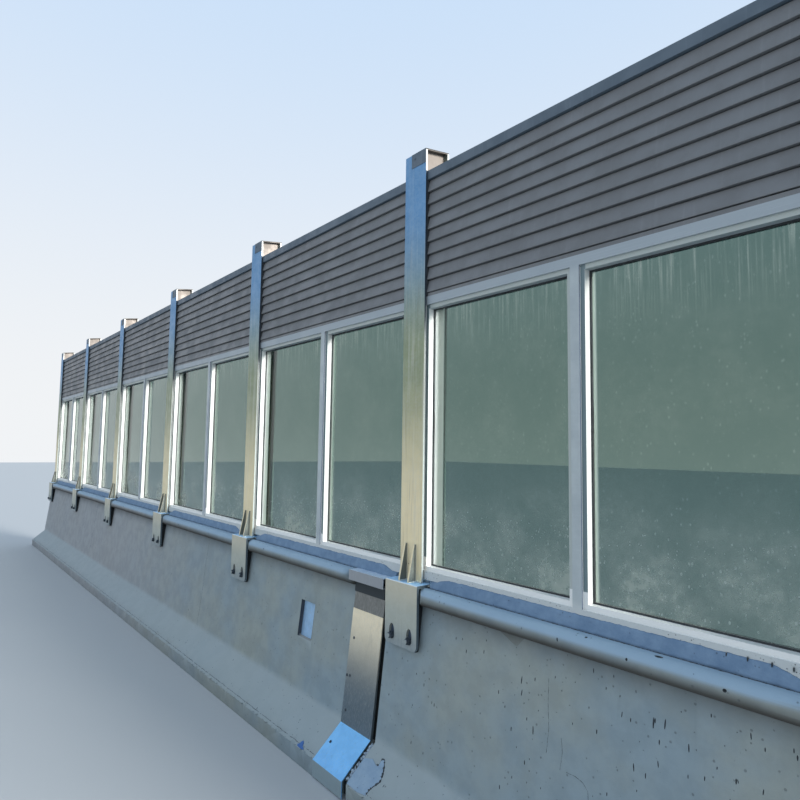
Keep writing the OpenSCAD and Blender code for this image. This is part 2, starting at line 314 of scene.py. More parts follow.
class EffectGroup(Graph):
    """The node group of one surface effect: it takes a place and numbers, and gives a mask."""

    def __init__(self, effect: Effect, **numbers: float) -> None:
        """Opens the group.

        Args:
            effect: which one it is.
            numbers: each number input and its usual value.
        """
        super().__init__(bpy.data.node_groups.new(effect.value, "ShaderNodeTree"))
        face = self.tree.interface
        face.new_socket("Place", in_out="INPUT", socket_type="NodeSocketVector")
        for label, usual in numbers.items():
            item = face.new_socket(label.title(), in_out="INPUT", socket_type="NodeSocketFloat")
            item.default_value = usual
        face.new_socket("Mask", in_out="OUTPUT", socket_type="NodeSocketFloat")
        live = list(self.tree.nodes.new("NodeGroupInput").outputs)[:-1]
        self.place, *self.numbers = (Flow(self, socket) for socket in live)

    def close(self, mask: Flow) -> None:
        """Gives the mask out."""
        self.feed(self.tree.nodes.new("NodeGroupOutput").inputs[0], mask)


class Mottle(EffectGroup):
    """Clouds of one size, with their contrast drawn out."""

    def __init__(self) -> None:
        """Builds the group."""
        super().__init__(Effect.MOTTLE, size=0.3, contrast=0.5)
        size, contrast = self.numbers
        cloud = self.noise(self.place / self.xyz(size, size, size), 1.0, 6.0, 0.62)
        edge = (1.0 - contrast) * 0.5
        self.close(cloud.ramp(edge, 1.0 - edge))


class Streaks(EffectGroup):
    """Soft streaks whose length along X, Y and Z is set apart."""

    def __init__(self) -> None:
        """Builds the group."""
        super().__init__(Effect.STREAKS, wide=0.02, deep=0.02, tall=0.6, cover=0.4)
        wide, deep, tall, cover = self.numbers
        cloud = self.noise(self.place / self.xyz(wide, deep, tall), 1.0, 3.0, 0.55)
        edge = cover.sum("MULTIPLY_ADD", -0.4, 0.72)
        self.close(cloud.ramp(edge, edge + 0.2))


class Specks(EffectGroup):
    """Round specks in a share of the cells of a grid."""

    def __init__(self) -> None:
        """Builds the group."""
        super().__init__(Effect.SPECKS, size=0.01, share=0.3)
        size, share = self.numbers
        near = self.add("ShaderNodeTexVoronoi", self.place / self.xyz(size, size, size), 1.0)
        pick = self.add("ShaderNodeSeparateColor", near.out("Color"))
        radius = pick.out("Green").sum("MULTIPLY_ADD", 0.3, 0.08)
        self.close(near.ramp(radius, radius * 0.5) * (pick < share))


class Rise(EffectGroup):
    """A smooth change from one height to another."""

    def __init__(self) -> None:
        """Builds the group."""
        super().__init__(Effect.RISE, low=0.0, high=1.0)
        self.close(self.place.axis("Z").ramp(*self.numbers))


EFFECTS = {
    Effect.MOTTLE: Mottle(),
    Effect.STREAKS: Streaks(),
    Effect.SPECKS: Specks(),
    Effect.RISE: Rise(),
}


# Finishes


class Surface(Graph):
    """A material in the making: its place pattern, its main shader and its colour so far."""

    def __init__(self, name: str, body: Rgb, metallic: float, roughness: float) -> None:
        """Starts a material.

        Args:
            name: its name.
            body: its colour under all coats.
            metallic: how metallic it is all over.
            roughness: how rough it is where nothing else says so.
        """
        self.material = bpy.data.materials.new(name)
        self.material.use_nodes = True
        super().__init__(self.material.node_tree)
        self.inputs = self.tree.nodes["Principled BSDF"].inputs
        self.inputs["Metallic"].default_value = metallic
        self.inputs["Roughness"].default_value = roughness
        self.feed(self.inputs["Base Color"], body)
        self.place = self.add("ShaderNodeTexCoord").out("Object")
        self.tone: Flow | Rgb = body

    def coat(self, tone: Flow | Rgb, *masks: Flow, share: float = 1.0) -> None:
        """Lays a tone over the colour so far.

        Args:
            tone: the tone.
            masks: where it lies, which is where all of them say so.
            share: how much of it there is at most.
        """
        where, *others = masks
        for mask in others:
            where = where * mask
        self.tone = self.mix(where if share == 1.0 else where * share, self.tone, tone)
        self.feed(self.inputs["Base Color"], self.tone)

    def effect(self, effect: Effect, place: Flow | None = None, **numbers: float) -> Flow:
        """Places a shared effect.

        Args:
            effect: which one.
            place: where it reads its place, if not from the piece's own.
            numbers: its number inputs.

        Returns:
            Its mask.
        """
        node = self.tree.nodes.new("ShaderNodeGroup")
        node.node_tree = EFFECTS[effect].tree
        for label, value in {"place": place or self.place, **numbers}.items():
            self.feed(node.inputs[label.title()], value)
        return Flow(self, node.outputs["Mask"])

    def mottle(self, size: float, contrast: float, place: Flow | None = None) -> Flow:
        """Returns the mask of clouds of a size in metres, drawn out by a contrast."""
        return self.effect(Effect.MOTTLE, place, size=size, contrast=contrast)

    def streaks(self, size: Point, cover: float, place: Flow | None = None) -> Flow:
        """Returns the mask of streaks with a length along each axis and a share of cover."""
        wide, deep, tall = size
        return self.effect(Effect.STREAKS, place, wide=wide, deep=deep, tall=tall, cover=cover)

    def specks(self, size: float, share: float, place: Flow | None = None) -> Flow:
        """Returns the mask of specks in a share of the cells of a size."""
        return self.effect(Effect.SPECKS, place, size=size, share=share)

    def rise(self, low: float, high: float) -> Flow:
        """Returns the mask that goes from 0 at one height to 1 at another."""
        return self.effect(Effect.RISE, low=low, high=high)

    def grain(self, scale: float, detail: float, rough: float) -> Flow:
        """Returns a cloud pattern on the piece's own place."""
        return self.noise(self.place, scale, detail, rough)

    def facing(self, axis: str) -> Flow:
        """Returns how far the surface looks along an axis, from -1 to 1."""
        return self.add("ShaderNodeNewGeometry").out("Normal").axis(axis)

    def along(self, axis: str) -> Flow:
        """Returns the place on the surface along an axis, in metres."""
        return self.place.axis(axis)

    def rough(self, mask: Flow, low: float, high: float) -> None:
        """Sets the roughness from a mask, low at 0 and high at 1."""
        self.feed(self.inputs["Roughness"], mask.ramp(0.0, 1.0, low, high))

    def bump(self, height: Flow, distance: float) -> None:
        """Sets the fine relief, from a height and how deep that is in metres."""
        self.feed(self.inputs["Normal"], self.add("ShaderNodeBump", 1.0, distance, None, height))


@dataclass(frozen=True, kw_only=True)
class Finish:
    """What every finish has: a name, a body colour, and how metallic and rough it is."""

    name: str
    body: Rgb
    metallic: float = 0.0
    roughness: float = 0.5

    def build(self) -> bpy.types.Material:
        """Makes the material.

        Returns:
            The material with all its coats.
        """
        paint = Surface(self.name, self.body, self.metallic, self.roughness)
        self.dress(paint)
        return paint.material

    def dress(self, paint: Surface) -> None:
        """Lays the finish's own coats on a surface."""
        raise NotImplementedError


@dataclass(frozen=True, kw_only=True)
class ConcreteFinish(Finish):
    """Cast concrete: even and pale, blotched with old form oil, with pores and thin runs."""

    name: str = "cast concrete"
    body: Rgb = srgb(139, 156, 164)
    roughness: float = 0.85
    warm: Rgb = srgb(152, 160, 155)
    far: Rgb = srgb(162, 164, 166)
    # painted sky light: the paler, bluer tone of faces that look up, such as the toe
    slope: Rgb = srgb(161, 172, 174)
    # painted sky light on the crown of the nose
    crown: Rgb = srgb(152, 176, 194)
    dirt: Rgb = srgb(78, 86, 88)
    # painted shade: the dark tone under the nose and on the wall just below it
    under: Rgb = srgb(66, 63, 58)

    def dress(self, paint: Surface) -> None:
        """Lays broad tones, painted sky light on what looks up and on the crown of the nose, painted shade
        round the nose, runs, splashes and pores.

        Args:
            paint: the surface that takes them.
        """
        up = paint.facing("Z")
        paint.coat(self.warm, paint.mottle(size=0.7, contrast=0.35))
        paint.coat(self.far, paint.along("X").ramp(2.5, -2.0), share=0.85)
        cloudy = paint.mottle(size=0.12, contrast=0.3, place=paint.place + (3.0, 1.0, 0.0))
        paint.coat(self.dirt, cloudy, share=0.13)
        # painted sky light: faces that look up turn paler and bluer
        paint.coat(self.slope, up.ramp(0.2, 0.7), share=0.8)
        # painted sky light on the crown of the nose
        paint.coat(self.crown, paint.rise(0.9, 1.0), up.ramp(0.0, 0.5))
        # painted shade on the underside of the nose
        paint.coat(self.under, up.ramp(0.5, -0.75), paint.rise(1.0, 1.012), share=0.95)
        # painted shade on the wall just below the nose
        shade = paint.rise(0.90, 1.012) * up.ramp(0.3, 0.0)
        paint.coat(self.under, shade, paint.rise(1.035, 1.015), share=0.62)
        runs = paint.streaks(size=(0.045, 2.0, 0.6), cover=0.25)
        paint.coat(self.dirt, runs, paint.rise(0.4, 0.95), paint.rise(1.0, 0.98), share=0.10)
        paint.coat(self.dirt, paint.rise(0.16, 0.0), share=0.3)
        pores = paint.specks(size=0.016, share=0.12)
        paint.coat(self.dirt, pores, share=0.5)
        sand = paint.grain(scale=420.0, detail=4.0, rough=0.6)
        waves = paint.grain(scale=14.0, detail=3.0, rough=0.5)
        paint.coat(self.dirt, sand, share=0.12)
        paint.bump(waves * 1.2 + sand * 0.35 - pores, distance=0.0014)
        paint.rough(cloudy, low=0.78, high=0.95)


@dataclass(frozen=True, kw_only=True)
class HollowFinish(Finish):
    """The shaded inside of a pore or a chip in the concrete."""

    name: str = "open concrete"
    body: Rgb = srgb(84, 92, 98)
    roughness: float = 0.95
    deep: Rgb = srgb(42, 47, 50)

    def dress(self, paint: Surface) -> None:
        """Lays dark blotches and a gritty relief on a surface."""
        paint.coat(self.deep, paint.mottle(size=0.012, contrast=0.4))
        paint.bump(paint.grain(scale=700.0, detail=3.0, rough=0.6), distance=0.0008)


@dataclass(frozen=True, kw_only=True)
class MortarFinish(Finish):
    """Trowelled mortar, cool grey, with pale lime and dark gaps; the blue of its usual body is partly
    painted sky light.
    """

    name: str = "trowelled mortar"
    # partly painted sky light: the blue cast of the bed's upward faces
    body: Rgb = srgb(103, 129, 156)
    roughness: float = 0.9
    pale: Rgb = srgb(120, 145, 170)
    damp: Rgb = srgb(80, 92, 110)
    hole: Rgb = srgb(60, 68, 78)

    def dress(self, paint: Surface) -> None:
        """Lays lime, damp runs and small holes.

        Args:
            paint: the surface that takes them.
        """
        paint.coat(self.pale, paint.mottle(size=0.05, contrast=0.4))
        paint.coat(self.damp, paint.streaks(size=(0.06, 0.06, 0.02), cover=0.35), share=0.18)
        paint.coat(self.hole, paint.specks(size=0.012, share=0.12), share=0.5)
        paint.bump(paint.grain(scale=160.0, detail=5.0, rough=0.65), distance=0.002)


@dataclass(frozen=True, kw_only=True)
class ZincFinish(Finish):
    """Hot-dip galvanised steel: the tone goes from foot to head, and it is streaked and dull."""

    metallic: float = 0.2
    roughness: float = 0.48
    middle: Rgb
    head: Rgb
    low: float
    high: float
    streaked: float = 1.0
    flower: Rgb = srgb(200, 208, 212)
    brown: Rgb = srgb(128, 112, 92)
    pale: Rgb = srgb(220, 218, 206)
    tarnish: Rgb = srgb(90, 100, 104)

    def dress(self, paint: Surface) -> None:
        """Lays the tones of foot and head, zinc flowers, runs and tarnish.

        Args:
            paint: the surface that takes them.
        """
        half = (self.low + self.high) / 2
        upper = paint.rise(half, self.high)
        paint.coat(self.middle, paint.rise(self.low, half))
        # on the posts this head tone is painted sky reflection
        paint.coat(self.head, upper)
        cells = paint.add("ShaderNodeTexVoronoi", paint.place, 95.0).out("Color")
        paint.coat(self.flower, paint.add("ShaderNodeSeparateColor", cells), share=0.10)
        fresh = upper * (-0.7 * self.streaked) + self.streaked
        paint.coat(self.brown, paint.streaks(size=(0.010, 0.010, 0.35), cover=0.5), fresh, share=0.30)
        other = paint.place + (5.0, 2.0, 1.0)
        paint.coat(self.pale, paint.streaks((0.016, 0.016, 0.5), 0.6, other), fresh, share=0.25)
        dull = paint.mottle(size=0.09, contrast=0.5)
        paint.coat(self.tarnish, dull, share=0.06)
        self.turn(paint)
        paint.rough(dull, low=0.38, high=0.62)
        paint.bump(paint.grain(scale=60.0, detail=4.0, rough=0.5), distance=0.0006)

    def turn(self, paint: Surface) -> None:
        """Lays the tones of faces that look another way, which plain zinc has none of."""


@dataclass(frozen=True, kw_only=True)
class PlateFinish(ZincFinish):
    """The saddles' zinc, with painted sky light on top, a painted highlight along the bend and painted
    shade on the cut sides.
    """

    # painted sky light on the top
    top: Rgb = srgb(170, 214, 250)
    # painted highlight along the bend
    bend: Rgb = srgb(218, 228, 234)
    # painted shade on the cut sides
    side: Rgb = srgb(86, 100, 108)
    rim: float = 0.12

    def turn(self, paint: Surface) -> None:
        """Lays the painted shade of the cut sides, the painted highlight along the bend and the painted
        sky light on the top.

        Args:
            paint: the surface that takes them.
        """
        up = paint.facing("Z")
        outer = abs(paint.along("X").wrapped()) > self.rim
        # painted shade on the cut sides
        paint.coat(self.side, outer, abs(paint.facing("X")).ramp(0.6, 0.9))
        # painted highlight along the bend
        paint.coat(self.bend, up.ramp(0.15, 0.5))
        # painted sky light on the top
        paint.coat(self.top, up.ramp(0.9, 0.98))


@dataclass(frozen=True, kw_only=True)
class PostFinish(ZincFinish):
    """The posts' zinc: rust dots at the foot, gussets whose sides are painted shade, edges that darken
    upwards into painted shade, and painted shade under the cap.
    """

    edge_low: Rgb = srgb(182, 190, 188)
    edge_middle: Rgb = srgb(146, 150, 148)
    # painted shade: the near-black edge beside the louvres, where the gap is in shade
    edge_shade_high: Rgb = srgb(48, 60, 72)
    edge_head: Rgb = srgb(222, 222, 218)
    head_plate: Rgb = srgb(150, 140, 131)
    inner: Rgb = srgb(122, 130, 120)
    # painted shade on the sides of the gussets
    gusset_shade: Rgb = srgb(108, 114, 110)
    crest: Rgb = srgb(190, 198, 196)
    # painted shade under the cap and on its edge
    rim: Rgb = srgb(66, 62, 56)
    rust: Rgb = srgb(118, 84, 60)
    flange_y: float = 0.088
    web_y: float = 0.0760
    gusset_high: float = 1.34
    head_low: float = 3.36
    fall: float = 0.1486
    rim_low: float = 3.4945

    def turn(self, paint: Surface) -> None:
        """Lays the rust dots and the tones of edges, gussets, cap and inner flange; the dark upper edges,
        the sides of the gussets and the cap's underside and edge are painted shade.

        Args:
            paint: the surface that takes them.
        """
        dots = paint.specks(size=0.02, share=0.12, place=paint.place + (0.0, 4.0, 7.0))
        paint.coat(self.rust, dots, 1.0 - paint.rise(self.low - 0.3, self.low + 0.1), share=0.8)
        height = paint.along("Z")
        away = paint.along("Y") - SIZES.post_y
        edge = paint.mix(paint.rise(1.6, 2.2), self.edge_low, self.edge_middle)
        # painted shade on the upper edges beside the louvres
        edge = paint.mix(paint.rise(2.3, 2.7), edge, self.edge_shade_high)
        head = paint.mix(abs(away) < self.web_y, self.edge_head, self.head_plate)
        edge = paint.mix(height > self.head_low, edge, head)
        foot = (abs(away) > self.flange_y) * (height < self.gusset_high)
        # painted shade on the sides of the gussets
        edge = paint.mix(foot, edge, self.gusset_shade)
        level = away.sum("MULTIPLY_ADD", -self.fall, height)
        # painted shade on the edge of the cap
        edge = paint.mix(level > self.rim_low, edge, self.rim)
        paint.coat(self.inner, away > 0.0, paint.facing("Y").ramp(-0.5, -0.8))
        paint.coat(edge, abs(paint.facing("X")).ramp(0.6, 0.9))
        # painted shade on faces that look down, under the cap
        paint.coat(self.rim, paint.facing("Z").ramp(-0.6, -0.9))
        paint.coat(self.crest, paint.facing("Z").ramp(0.15, 0.5))


@dataclass(frozen=True, kw_only=True)
class SheetFinish(Finish):
    """Bright rolled sheet over the joint, brushed one way, with runs and smears; its tone from a dark foot
    to a bright top is painted reflection.
    """

    metallic: float = 0.45
    roughness: float = 0.36
    # painted reflection: the bright tone that the sheet takes towards its top
    bright: Rgb
    low: float
    high: float
    worn: float = 1.0
    fold: Rgb | None = None
    fold_low: float = 0.0
    curve: float = 1.0
    brushed: Rgb = srgb(214, 216, 210)
    run: Rgb = srgb(80, 90, 96)
    smeared: Rgb = srgb(104, 112, 112)

    def dress(self, paint: Surface) -> None:
        """Lays the bright tone above, which is painted reflection, brushing, runs, smears and the tone of
        the fold.

        Args:
            paint: the surface that takes them.
        """
        # painted reflection, brighter towards the top
        paint.coat(self.bright, paint.rise(self.low, self.high).sum("POWER", self.curve))
        lines = paint.streaks(size=(0.0025, 0.0025, 0.25), cover=0.6)
        paint.coat(self.brushed, lines, share=0.22)
        runs = paint.streaks((0.03, 0.03, 0.4), 0.4, place=paint.place + (1.0, 0.0, 3.0))
        paint.coat(self.run, runs, share=0.3 * self.worn)
        smear = paint.mottle(size=0.07, contrast=0.4)
        paint.coat(self.smeared, smear, share=0.2 * self.worn)
        if self.fold:
            above = paint.along("Z") > self.fold_low
            paint.coat(self.fold, paint.facing("Y").ramp(-0.8, -0.95), above)
        paint.rough(smear, low=0.3, high=0.55)
        paint.bump(lines + paint.grain(scale=12.0, detail=2.0, rough=0.5), distance=0.0006)


@dataclass(frozen=True, kw_only=True)
class PaintFinish(Finish):
    """Baked paint on aluminium sheet, with road dust and washed runs."""

    dust: Rgb
    grimy: float = 0.55

    def dress(self, paint: Surface) -> None:
        """Lays dust on what looks up, washed runs and grime.

        Args:
            paint: the surface that takes them.
        """
        paint.coat(self.dust, paint.facing("Z").ramp(0.1, 0.9), share=0.35)
        paint.coat(self.dust, paint.streaks(size=(0.02, 0.5, 0.35), cover=0.4), share=0.2)
        grime = paint.mottle(size=0.16, contrast=0.45)
        paint.coat(tuple(c * self.grimy for c in self.body), grime, share=0.22)
        paint.rough(grime, self.roughness - 0.1, self.roughness + 0.2)
        paint.bump(paint.grain(scale=900.0, detail=2.0, rough=0.5), distance=0.0002)


@dataclass(frozen=True, kw_only=True)
class AluminiumFinish(Finish):
    """Mill aluminium frame: returns and sill painted near white as sunlit, beads in a lit tone and a
    painted-shade tone, a lower rail in painted reflection, splashes low down.
    """

    name: str = "mill aluminium"
    body: Rgb = srgb(184, 193, 194)
    metallic: float = 0.08
    roughness: float = 0.42
    dull: Rgb = srgb(166, 175, 178)
    # painted sunlight: the near-white tone of returns, sill and faces that look up
    side: Rgb = srgb(232, 233, 230)
    # painted reflection: the brighter tone of the lower rail
    rail: Rgb = srgb(196, 201, 200)
    shaded: Rgb = srgb(158, 168, 174)
    brushed: Rgb = srgb(206, 212, 218)
    splash: Rgb = srgb(66, 74, 82)
    bead: Rgb = srgb(176, 184, 180)
    # painted shade on the beads beside the mullions and jambs
    bead_shade: Rgb = srgb(112, 130, 134)
    # painted shade on the sides of the steps beside the mullions
    step: Rgb = srgb(70, 86, 112)
    core: float = middle("frame_4", "Y")
    bead_near: float = 0.030
    bead_far: float = 0.042
    sill: float = 1.25
    jamb: float = -0.9
    mullion: Pair = (0.0, 0.07)

    def dress(self, paint: Surface) -> None:
        """Lays the tones of rails, grain and splashes, then of beads, returns and sill; the bright lower
        rail is painted reflection, the head and the dark beads and steps beside the mullions are painted
        shade, and the white returns and sill are painted sunlight.

        Args:
            paint: the surface that takes them.
        """
        tone = paint.mottle(size=0.2, contrast=0.45)
        paint.coat(self.dull, tone)
        near = 1.0 - paint.rise(1.17, 1.22)
        # painted reflection on the lower rail
        paint.coat(self.rail, near, share=0.85)
        paint.coat(self.shaded, paint.rise(2.56, 2.62))
        paint.coat(self.brushed, paint.streaks(size=(0.3, 0.3, 0.004), cover=0.5), share=0.12)
        clusters = paint.mottle(size=0.14, contrast=0.15, place=paint.place + (1.0, 0.0, 0.0))
        paint.coat(self.splash, paint.specks(size=0.011, share=0.5), clusters, near)
        away = abs(paint.along("Y") - self.core)
        across = (paint.along("X") + 1.0).wrapped()
        beside = (across > self.mullion[0]) * (across < self.mullion[1])
        # painted shade on the beads beside the mullions and jambs
        bead = paint.mix((across < self.jamb) + beside, self.bead, self.bead_shade)
        # painted sunlight: the low beads take the near-white sill tone
        bead = paint.mix(paint.along("Z") < self.sill, bead, self.side)
        front = abs(paint.facing("Y")) > 0.5
        paint.coat(bead, away > self.bead_near, away < self.bead_far, front)
        # painted shade on the sides of the steps beside the mullions
        side = paint.mix((away > self.bead_far) * beside, self.side, self.step)
        # painted sunlight: returns that look along X and faces that look up turn near white
        paint.coat(side, abs(paint.facing("X")).ramp(0.5, 0.9))
        paint.coat(self.side, paint.facing("Z").ramp(0.5, 0.9))
        paint.rough(tone, low=0.34, high=0.55)
        paint.bump(paint.grain(scale=200.0, detail=3.0, rough=0.5), distance=0.0002)


@dataclass(frozen=True, kw_only=True)
class GlassFinish(Finish):
    """Dusty tinted glass: drips at the head, splashes and a haze at the foot."""

    name: str = "dusty tinted glass"
    body: Rgb = (0.150, 0.225, 0.198)
    roughness: float = 0.02
    high_tint: Rgb = (0.095, 0.165, 0.143)
    dust: Rgb = (0.46, 0.52, 0.46)
    drop: Rgb = (0.80, 0.86, 0.84)
    # painted light: the pale tone of lit reveals and flanges seen through the glass near the edges
    edge_light: Rgb = (0.52, 0.62, 0.56)
    edge_light_wide: float = 0.078
    edge_light_inner: Pair = (-0.02, 0.026)
    # painted highlight: the bright line of a sunlit flange edge seen through the glass
    edge_highlight_wide: float = 0.034
    index: float = 1.45

    def dress(self, paint: Surface) -> None:
        """Lays the upper tint, haze and drops, then a pale band along the edges of the panes and a bright
        line along their left edges, which paint the light of lit reveals and flanges seen through the
        glass.

        Args:
            paint: the surface that takes them.
        """
        foot = 1.0 - paint.rise(1.2, 1.75)
        paint.coat(self.high_tint, paint.rise(1.3, 2.2))
        cloud = paint.mottle(size=0.30, contrast=0.35)
        fine = paint.mottle(size=0.035, contrast=0.5)
        drips = paint.streaks(size=(0.006, 0.5, 0.30), cover=0.55) * paint.rise(2.28, 2.58)
        grains = paint.specks(size=0.0052, share=0.5, place=paint.place + (0.5, 0.0, 0.2))
        haze = cloud * (fine * 0.5 + 0.2) * (foot * 0.95 + 0.12) + drips * 0.5
        haze = haze + grains * cloud * foot * 0.6 + foot * 0.09
        paint.coat(self.dust, haze)
        drops = paint.specks(size=0.0125, share=0.55, place=paint.place * (1.0, 1.0, 0.6))
        thick = drops * (foot * 0.75 + 0.15)
        paint.coat(self.drop, thick)
        across = (paint.along("X") + 1.0).wrapped()
        left, right = Pane.LEFT.value[0], Pane.RIGHT.value[0]
        inner = (across > right + self.edge_light_inner[0]) * (across < right + self.edge_light_inner[1])
        # painted light of the lit reveals and flanges seen through the glass near the edges
        edge = (across < left + self.edge_light_wide).larger(inner * 0.6)
        paint.coat(self.edge_light, edge)
        # painted highlight along the left edge of each pane
        paint.coat(self.drop, across < left + self.edge_highlight_wide)
        paint.rough(edge.larger(haze.larger(thick)), low=0.02, high=0.6)
        paint.inputs["Transmission Weight"].default_value = 1.0
        paint.inputs["IOR"].default_value = self.index


@dataclass(frozen=True, kw_only=True)
class RubberFinish(Finish):
    """Weathered black rubber or foam."""

    body: Rgb = srgb(38, 41, 44)
    roughness: float = 0.75
    faded: float = 0.4
    face: Rgb | None = None
    grey: Rgb = srgb(78, 84, 86)
    dust: Rgb = srgb(170, 172, 166)

    def dress(self, paint: Surface) -> None:
        """Lays the grey bloom, the tone of the faces and settled dust.

        Args:
            paint: the surface that takes them.
        """
        paint.coat(self.grey, paint.mottle(size=0.03, contrast=0.5), share=self.faded)
        if self.face:
            paint.coat(self.face, abs(paint.facing("Y")).ramp(0.6, 0.8))
        paint.coat(self.dust, paint.facing("Z").ramp(0.3, 0.9), share=0.85)
        paint.bump(paint.grain(scale=500.0, detail=3.0, rough=0.6), distance=0.0004)


@dataclass(frozen=True, kw_only=True)
class BoltFinish(Finish):
    """Galvanised bolts and screws, greasy and half dark."""

    name: str = "galvanised bolts"
    body: Rgb = srgb(84, 94, 104)
    metallic: float = 0.6
    roughness: float = 0.45
    grease: Rgb = srgb(40, 46, 52)

    def dress(self, paint: Surface) -> None:
        """Lays the grease.

        Args:
            paint: the surface that takes it.
        """
        grime = paint.mottle(size=0.012, contrast=0.5)
        paint.coat(self.grease, grime)
        paint.rough(grime, low=0.35, high=0.65)
        paint.bump(paint.grain(scale=600.0, detail=3.0, rough=0.5), distance=0.0003)


class Wardrobe:
    """All materials of the barrier, each built once."""

    def __init__(self) -> None:
        """Builds the materials."""
        self.concrete = ConcreteFinish().build()
        self.hollow = HollowFinish().build()
        self.mortar = MortarFinish().build()
        self.repair = MortarFinish(
            name="repair mortar", body=srgb(136, 160, 182), pale=srgb(150, 172, 190)
        ).build()
        self.rubble = MortarFinish(
            name="broken mortar", body=srgb(134, 152, 170), pale=srgb(172, 186, 196)
        ).build()
        self.chalk = MortarFinish(
            name="blue marking chalk", body=srgb(58, 96, 158), pale=srgb(76, 118, 176)
        ).build()
        self.plate = PlateFinish(
            name="galvanised plate", body=srgb(134, 146, 150), middle=srgb(174, 178, 166),
            head=srgb(198, 192, 170), low=0.76, high=1.10, streaked=0.25,
        ).build()
        # the posts' blue head tone is painted sky reflection
        self.post = PostFinish(
            name="galvanised post", body=srgb(244, 226, 182), middle=srgb(144, 153, 119),
            head=srgb(94, 146, 190), low=1.45, high=3.2,
        ).build()
        # the cover's dark foot and warm bright top are painted reflection
        self.cover = SheetFinish(
            name="joint cover sheet", body=srgb(96, 112, 122), bright=srgb(255, 240, 208),
            low=0.28, high=0.87, worn=0.45, curve=2.0,
        ).build()
        # the toe sheet's bright blue is painted sky reflection
        self.toe = SheetFinish(
            name="joint toe sheet", body=srgb(128, 198, 254), bright=srgb(132, 204, 255),
            low=0.0, high=0.25, worn=0.5, fold=srgb(152, 170, 176),
        ).build()
        # the cap's pale blue top is painted sky light
        self.cap = SheetFinish(
            name="joint cap sheet", body=srgb(124, 124, 120), bright=srgb(224, 240, 255),
            low=1.03, high=1.09, worn=0.4, fold=srgb(159, 163, 167), fold_low=1.045,
        ).build()
        self.niche = SheetFinish(
            name="pocket sheet", body=srgb(162, 202, 238), bright=srgb(168, 208, 242),
            low=0.58, high=0.81,
        ).build()
        self.frame = AluminiumFinish().build()
        self.glass = GlassFinish().build()
        self.louvre = PaintFinish(
            name="grey louvre paint", body=srgb(116, 118, 120), dust=srgb(142, 144, 146)
        ).build()
        self.coping = PaintFinish(
            name="blue-grey coping paint", body=srgb(90, 104, 116), dust=srgb(126, 140, 152)
        ).build()
        self.rubber = RubberFinish(name="weathered rubber").build()
        self.rim = RubberFinish(name="shaded pocket rim", body=srgb(44, 58, 76)).build()
        self.foam = RubberFinish(name="joint filler board", body=srgb(46, 46, 44)).build()
        # partly painted shade: packers whose near-black tone paints the shade in the gap behind each
        # saddle leg
        self.packing_and_shade = RubberFinish(
            name="saddle packing", body=srgb(12, 18, 22), faded=0.1, face=srgb(66, 80, 98)
        ).build()
        # painted shadow: a dark strip under the drop of the joint cap
        self.shadow_strip = RubberFinish(name="cap seal", body=srgb(46, 54, 58), faded=0.1).build()
        self.bolt = BoltFinish().build()


# Meshes and pieces


def poly_mesh(
    name: str,
    points: Iterable[Sequence[float]],
    faces: Iterable[Sequence[int]] = (),
    edges: Iterable[Sequence[int]] = (),
) -> bpy.types.Mesh:
    """Makes a mesh from lists.

    Args:
        name: the mesh's name.
        points: its points, in metres.
        faces: its faces as point numbers.
        edges: its loose edges as point numbers.

    Returns:
        The mesh.
    """
    mesh = bpy.data.meshes.new(name)
    mesh.from_pydata(list(points), list(edges), list(faces))
    mesh.update()
    return mesh


def linked(name: str, data: bpy.types.ID) -> bpy.types.Object:
    """Puts a mesh, lamp or camera in the scene as an object at the origin.

    Args:
        name: the object's name.
        data: what it shows.

    Returns:
        The object.
    """
    thing = bpy.data.objects.new(name, data)
    bpy.context.scene.collection.objects.link(thing)
    return thing


def shape_mesh(shape: bmesh.types.BMesh, mesh: bpy.types.Mesh) -> bpy.types.Mesh:
    """Writes an edited shape into a mesh and frees the shape.

    Args:
        shape: the shape.
        mesh: the mesh, which is overwritten.

    Returns:
        The mesh.
    """
    shape.to_mesh(mesh)
    shape.free()
    return mesh


def baked(thing: bpy.types.Object) -> None:
    """Turns an object's modifiers into a plain mesh on it.

    Args:
        thing: the object; its modifiers are removed and its mesh replaced.
    """
    depsgraph = bpy.context.evaluated_depsgraph_get()
    mesh = bpy.data.meshes.new_from_object(thing.evaluated_get(depsgraph), depsgraph=depsgraph)
    thing.modifiers.clear()
    thing.data = mesh


def finish_piece(thing: bpy.types.Object, slot: str, *replaced: str) -> None:
    """Attaches a finished piece to the root body, hides the CAD nodes that it stands for, and logs its
    number of faces.

    Args:
        thing: the piece, with its place in its mesh.
        slot: the record's material slot; not used.
        replaced: the CAD nodes that it stands for.
    """
    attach(thing, BODY)
    if replaced:
        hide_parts(*replaced)
    LOG.info("piece %s: %d faces", thing.name, len(thing.data.polygons))


def smoothed(thing: bpy.types.Object, flat: bool = True, degrees: float = 35.0) -> None:
    """Shades a piece smooth between its sharp edges.

    Args:
        thing: the piece.
        flat: whether its large faces keep their own direction.
        degrees: the angle from which an edge is sharp.
    """
    thing.data.shade_smooth()
    thing.data.set_sharp_from_angle(angle=math.radians(degrees))
    if flat:
        thing.modifiers.new("flat faces", "WEIGHTED_NORMAL").keep_sharp = True
        baked(thing)


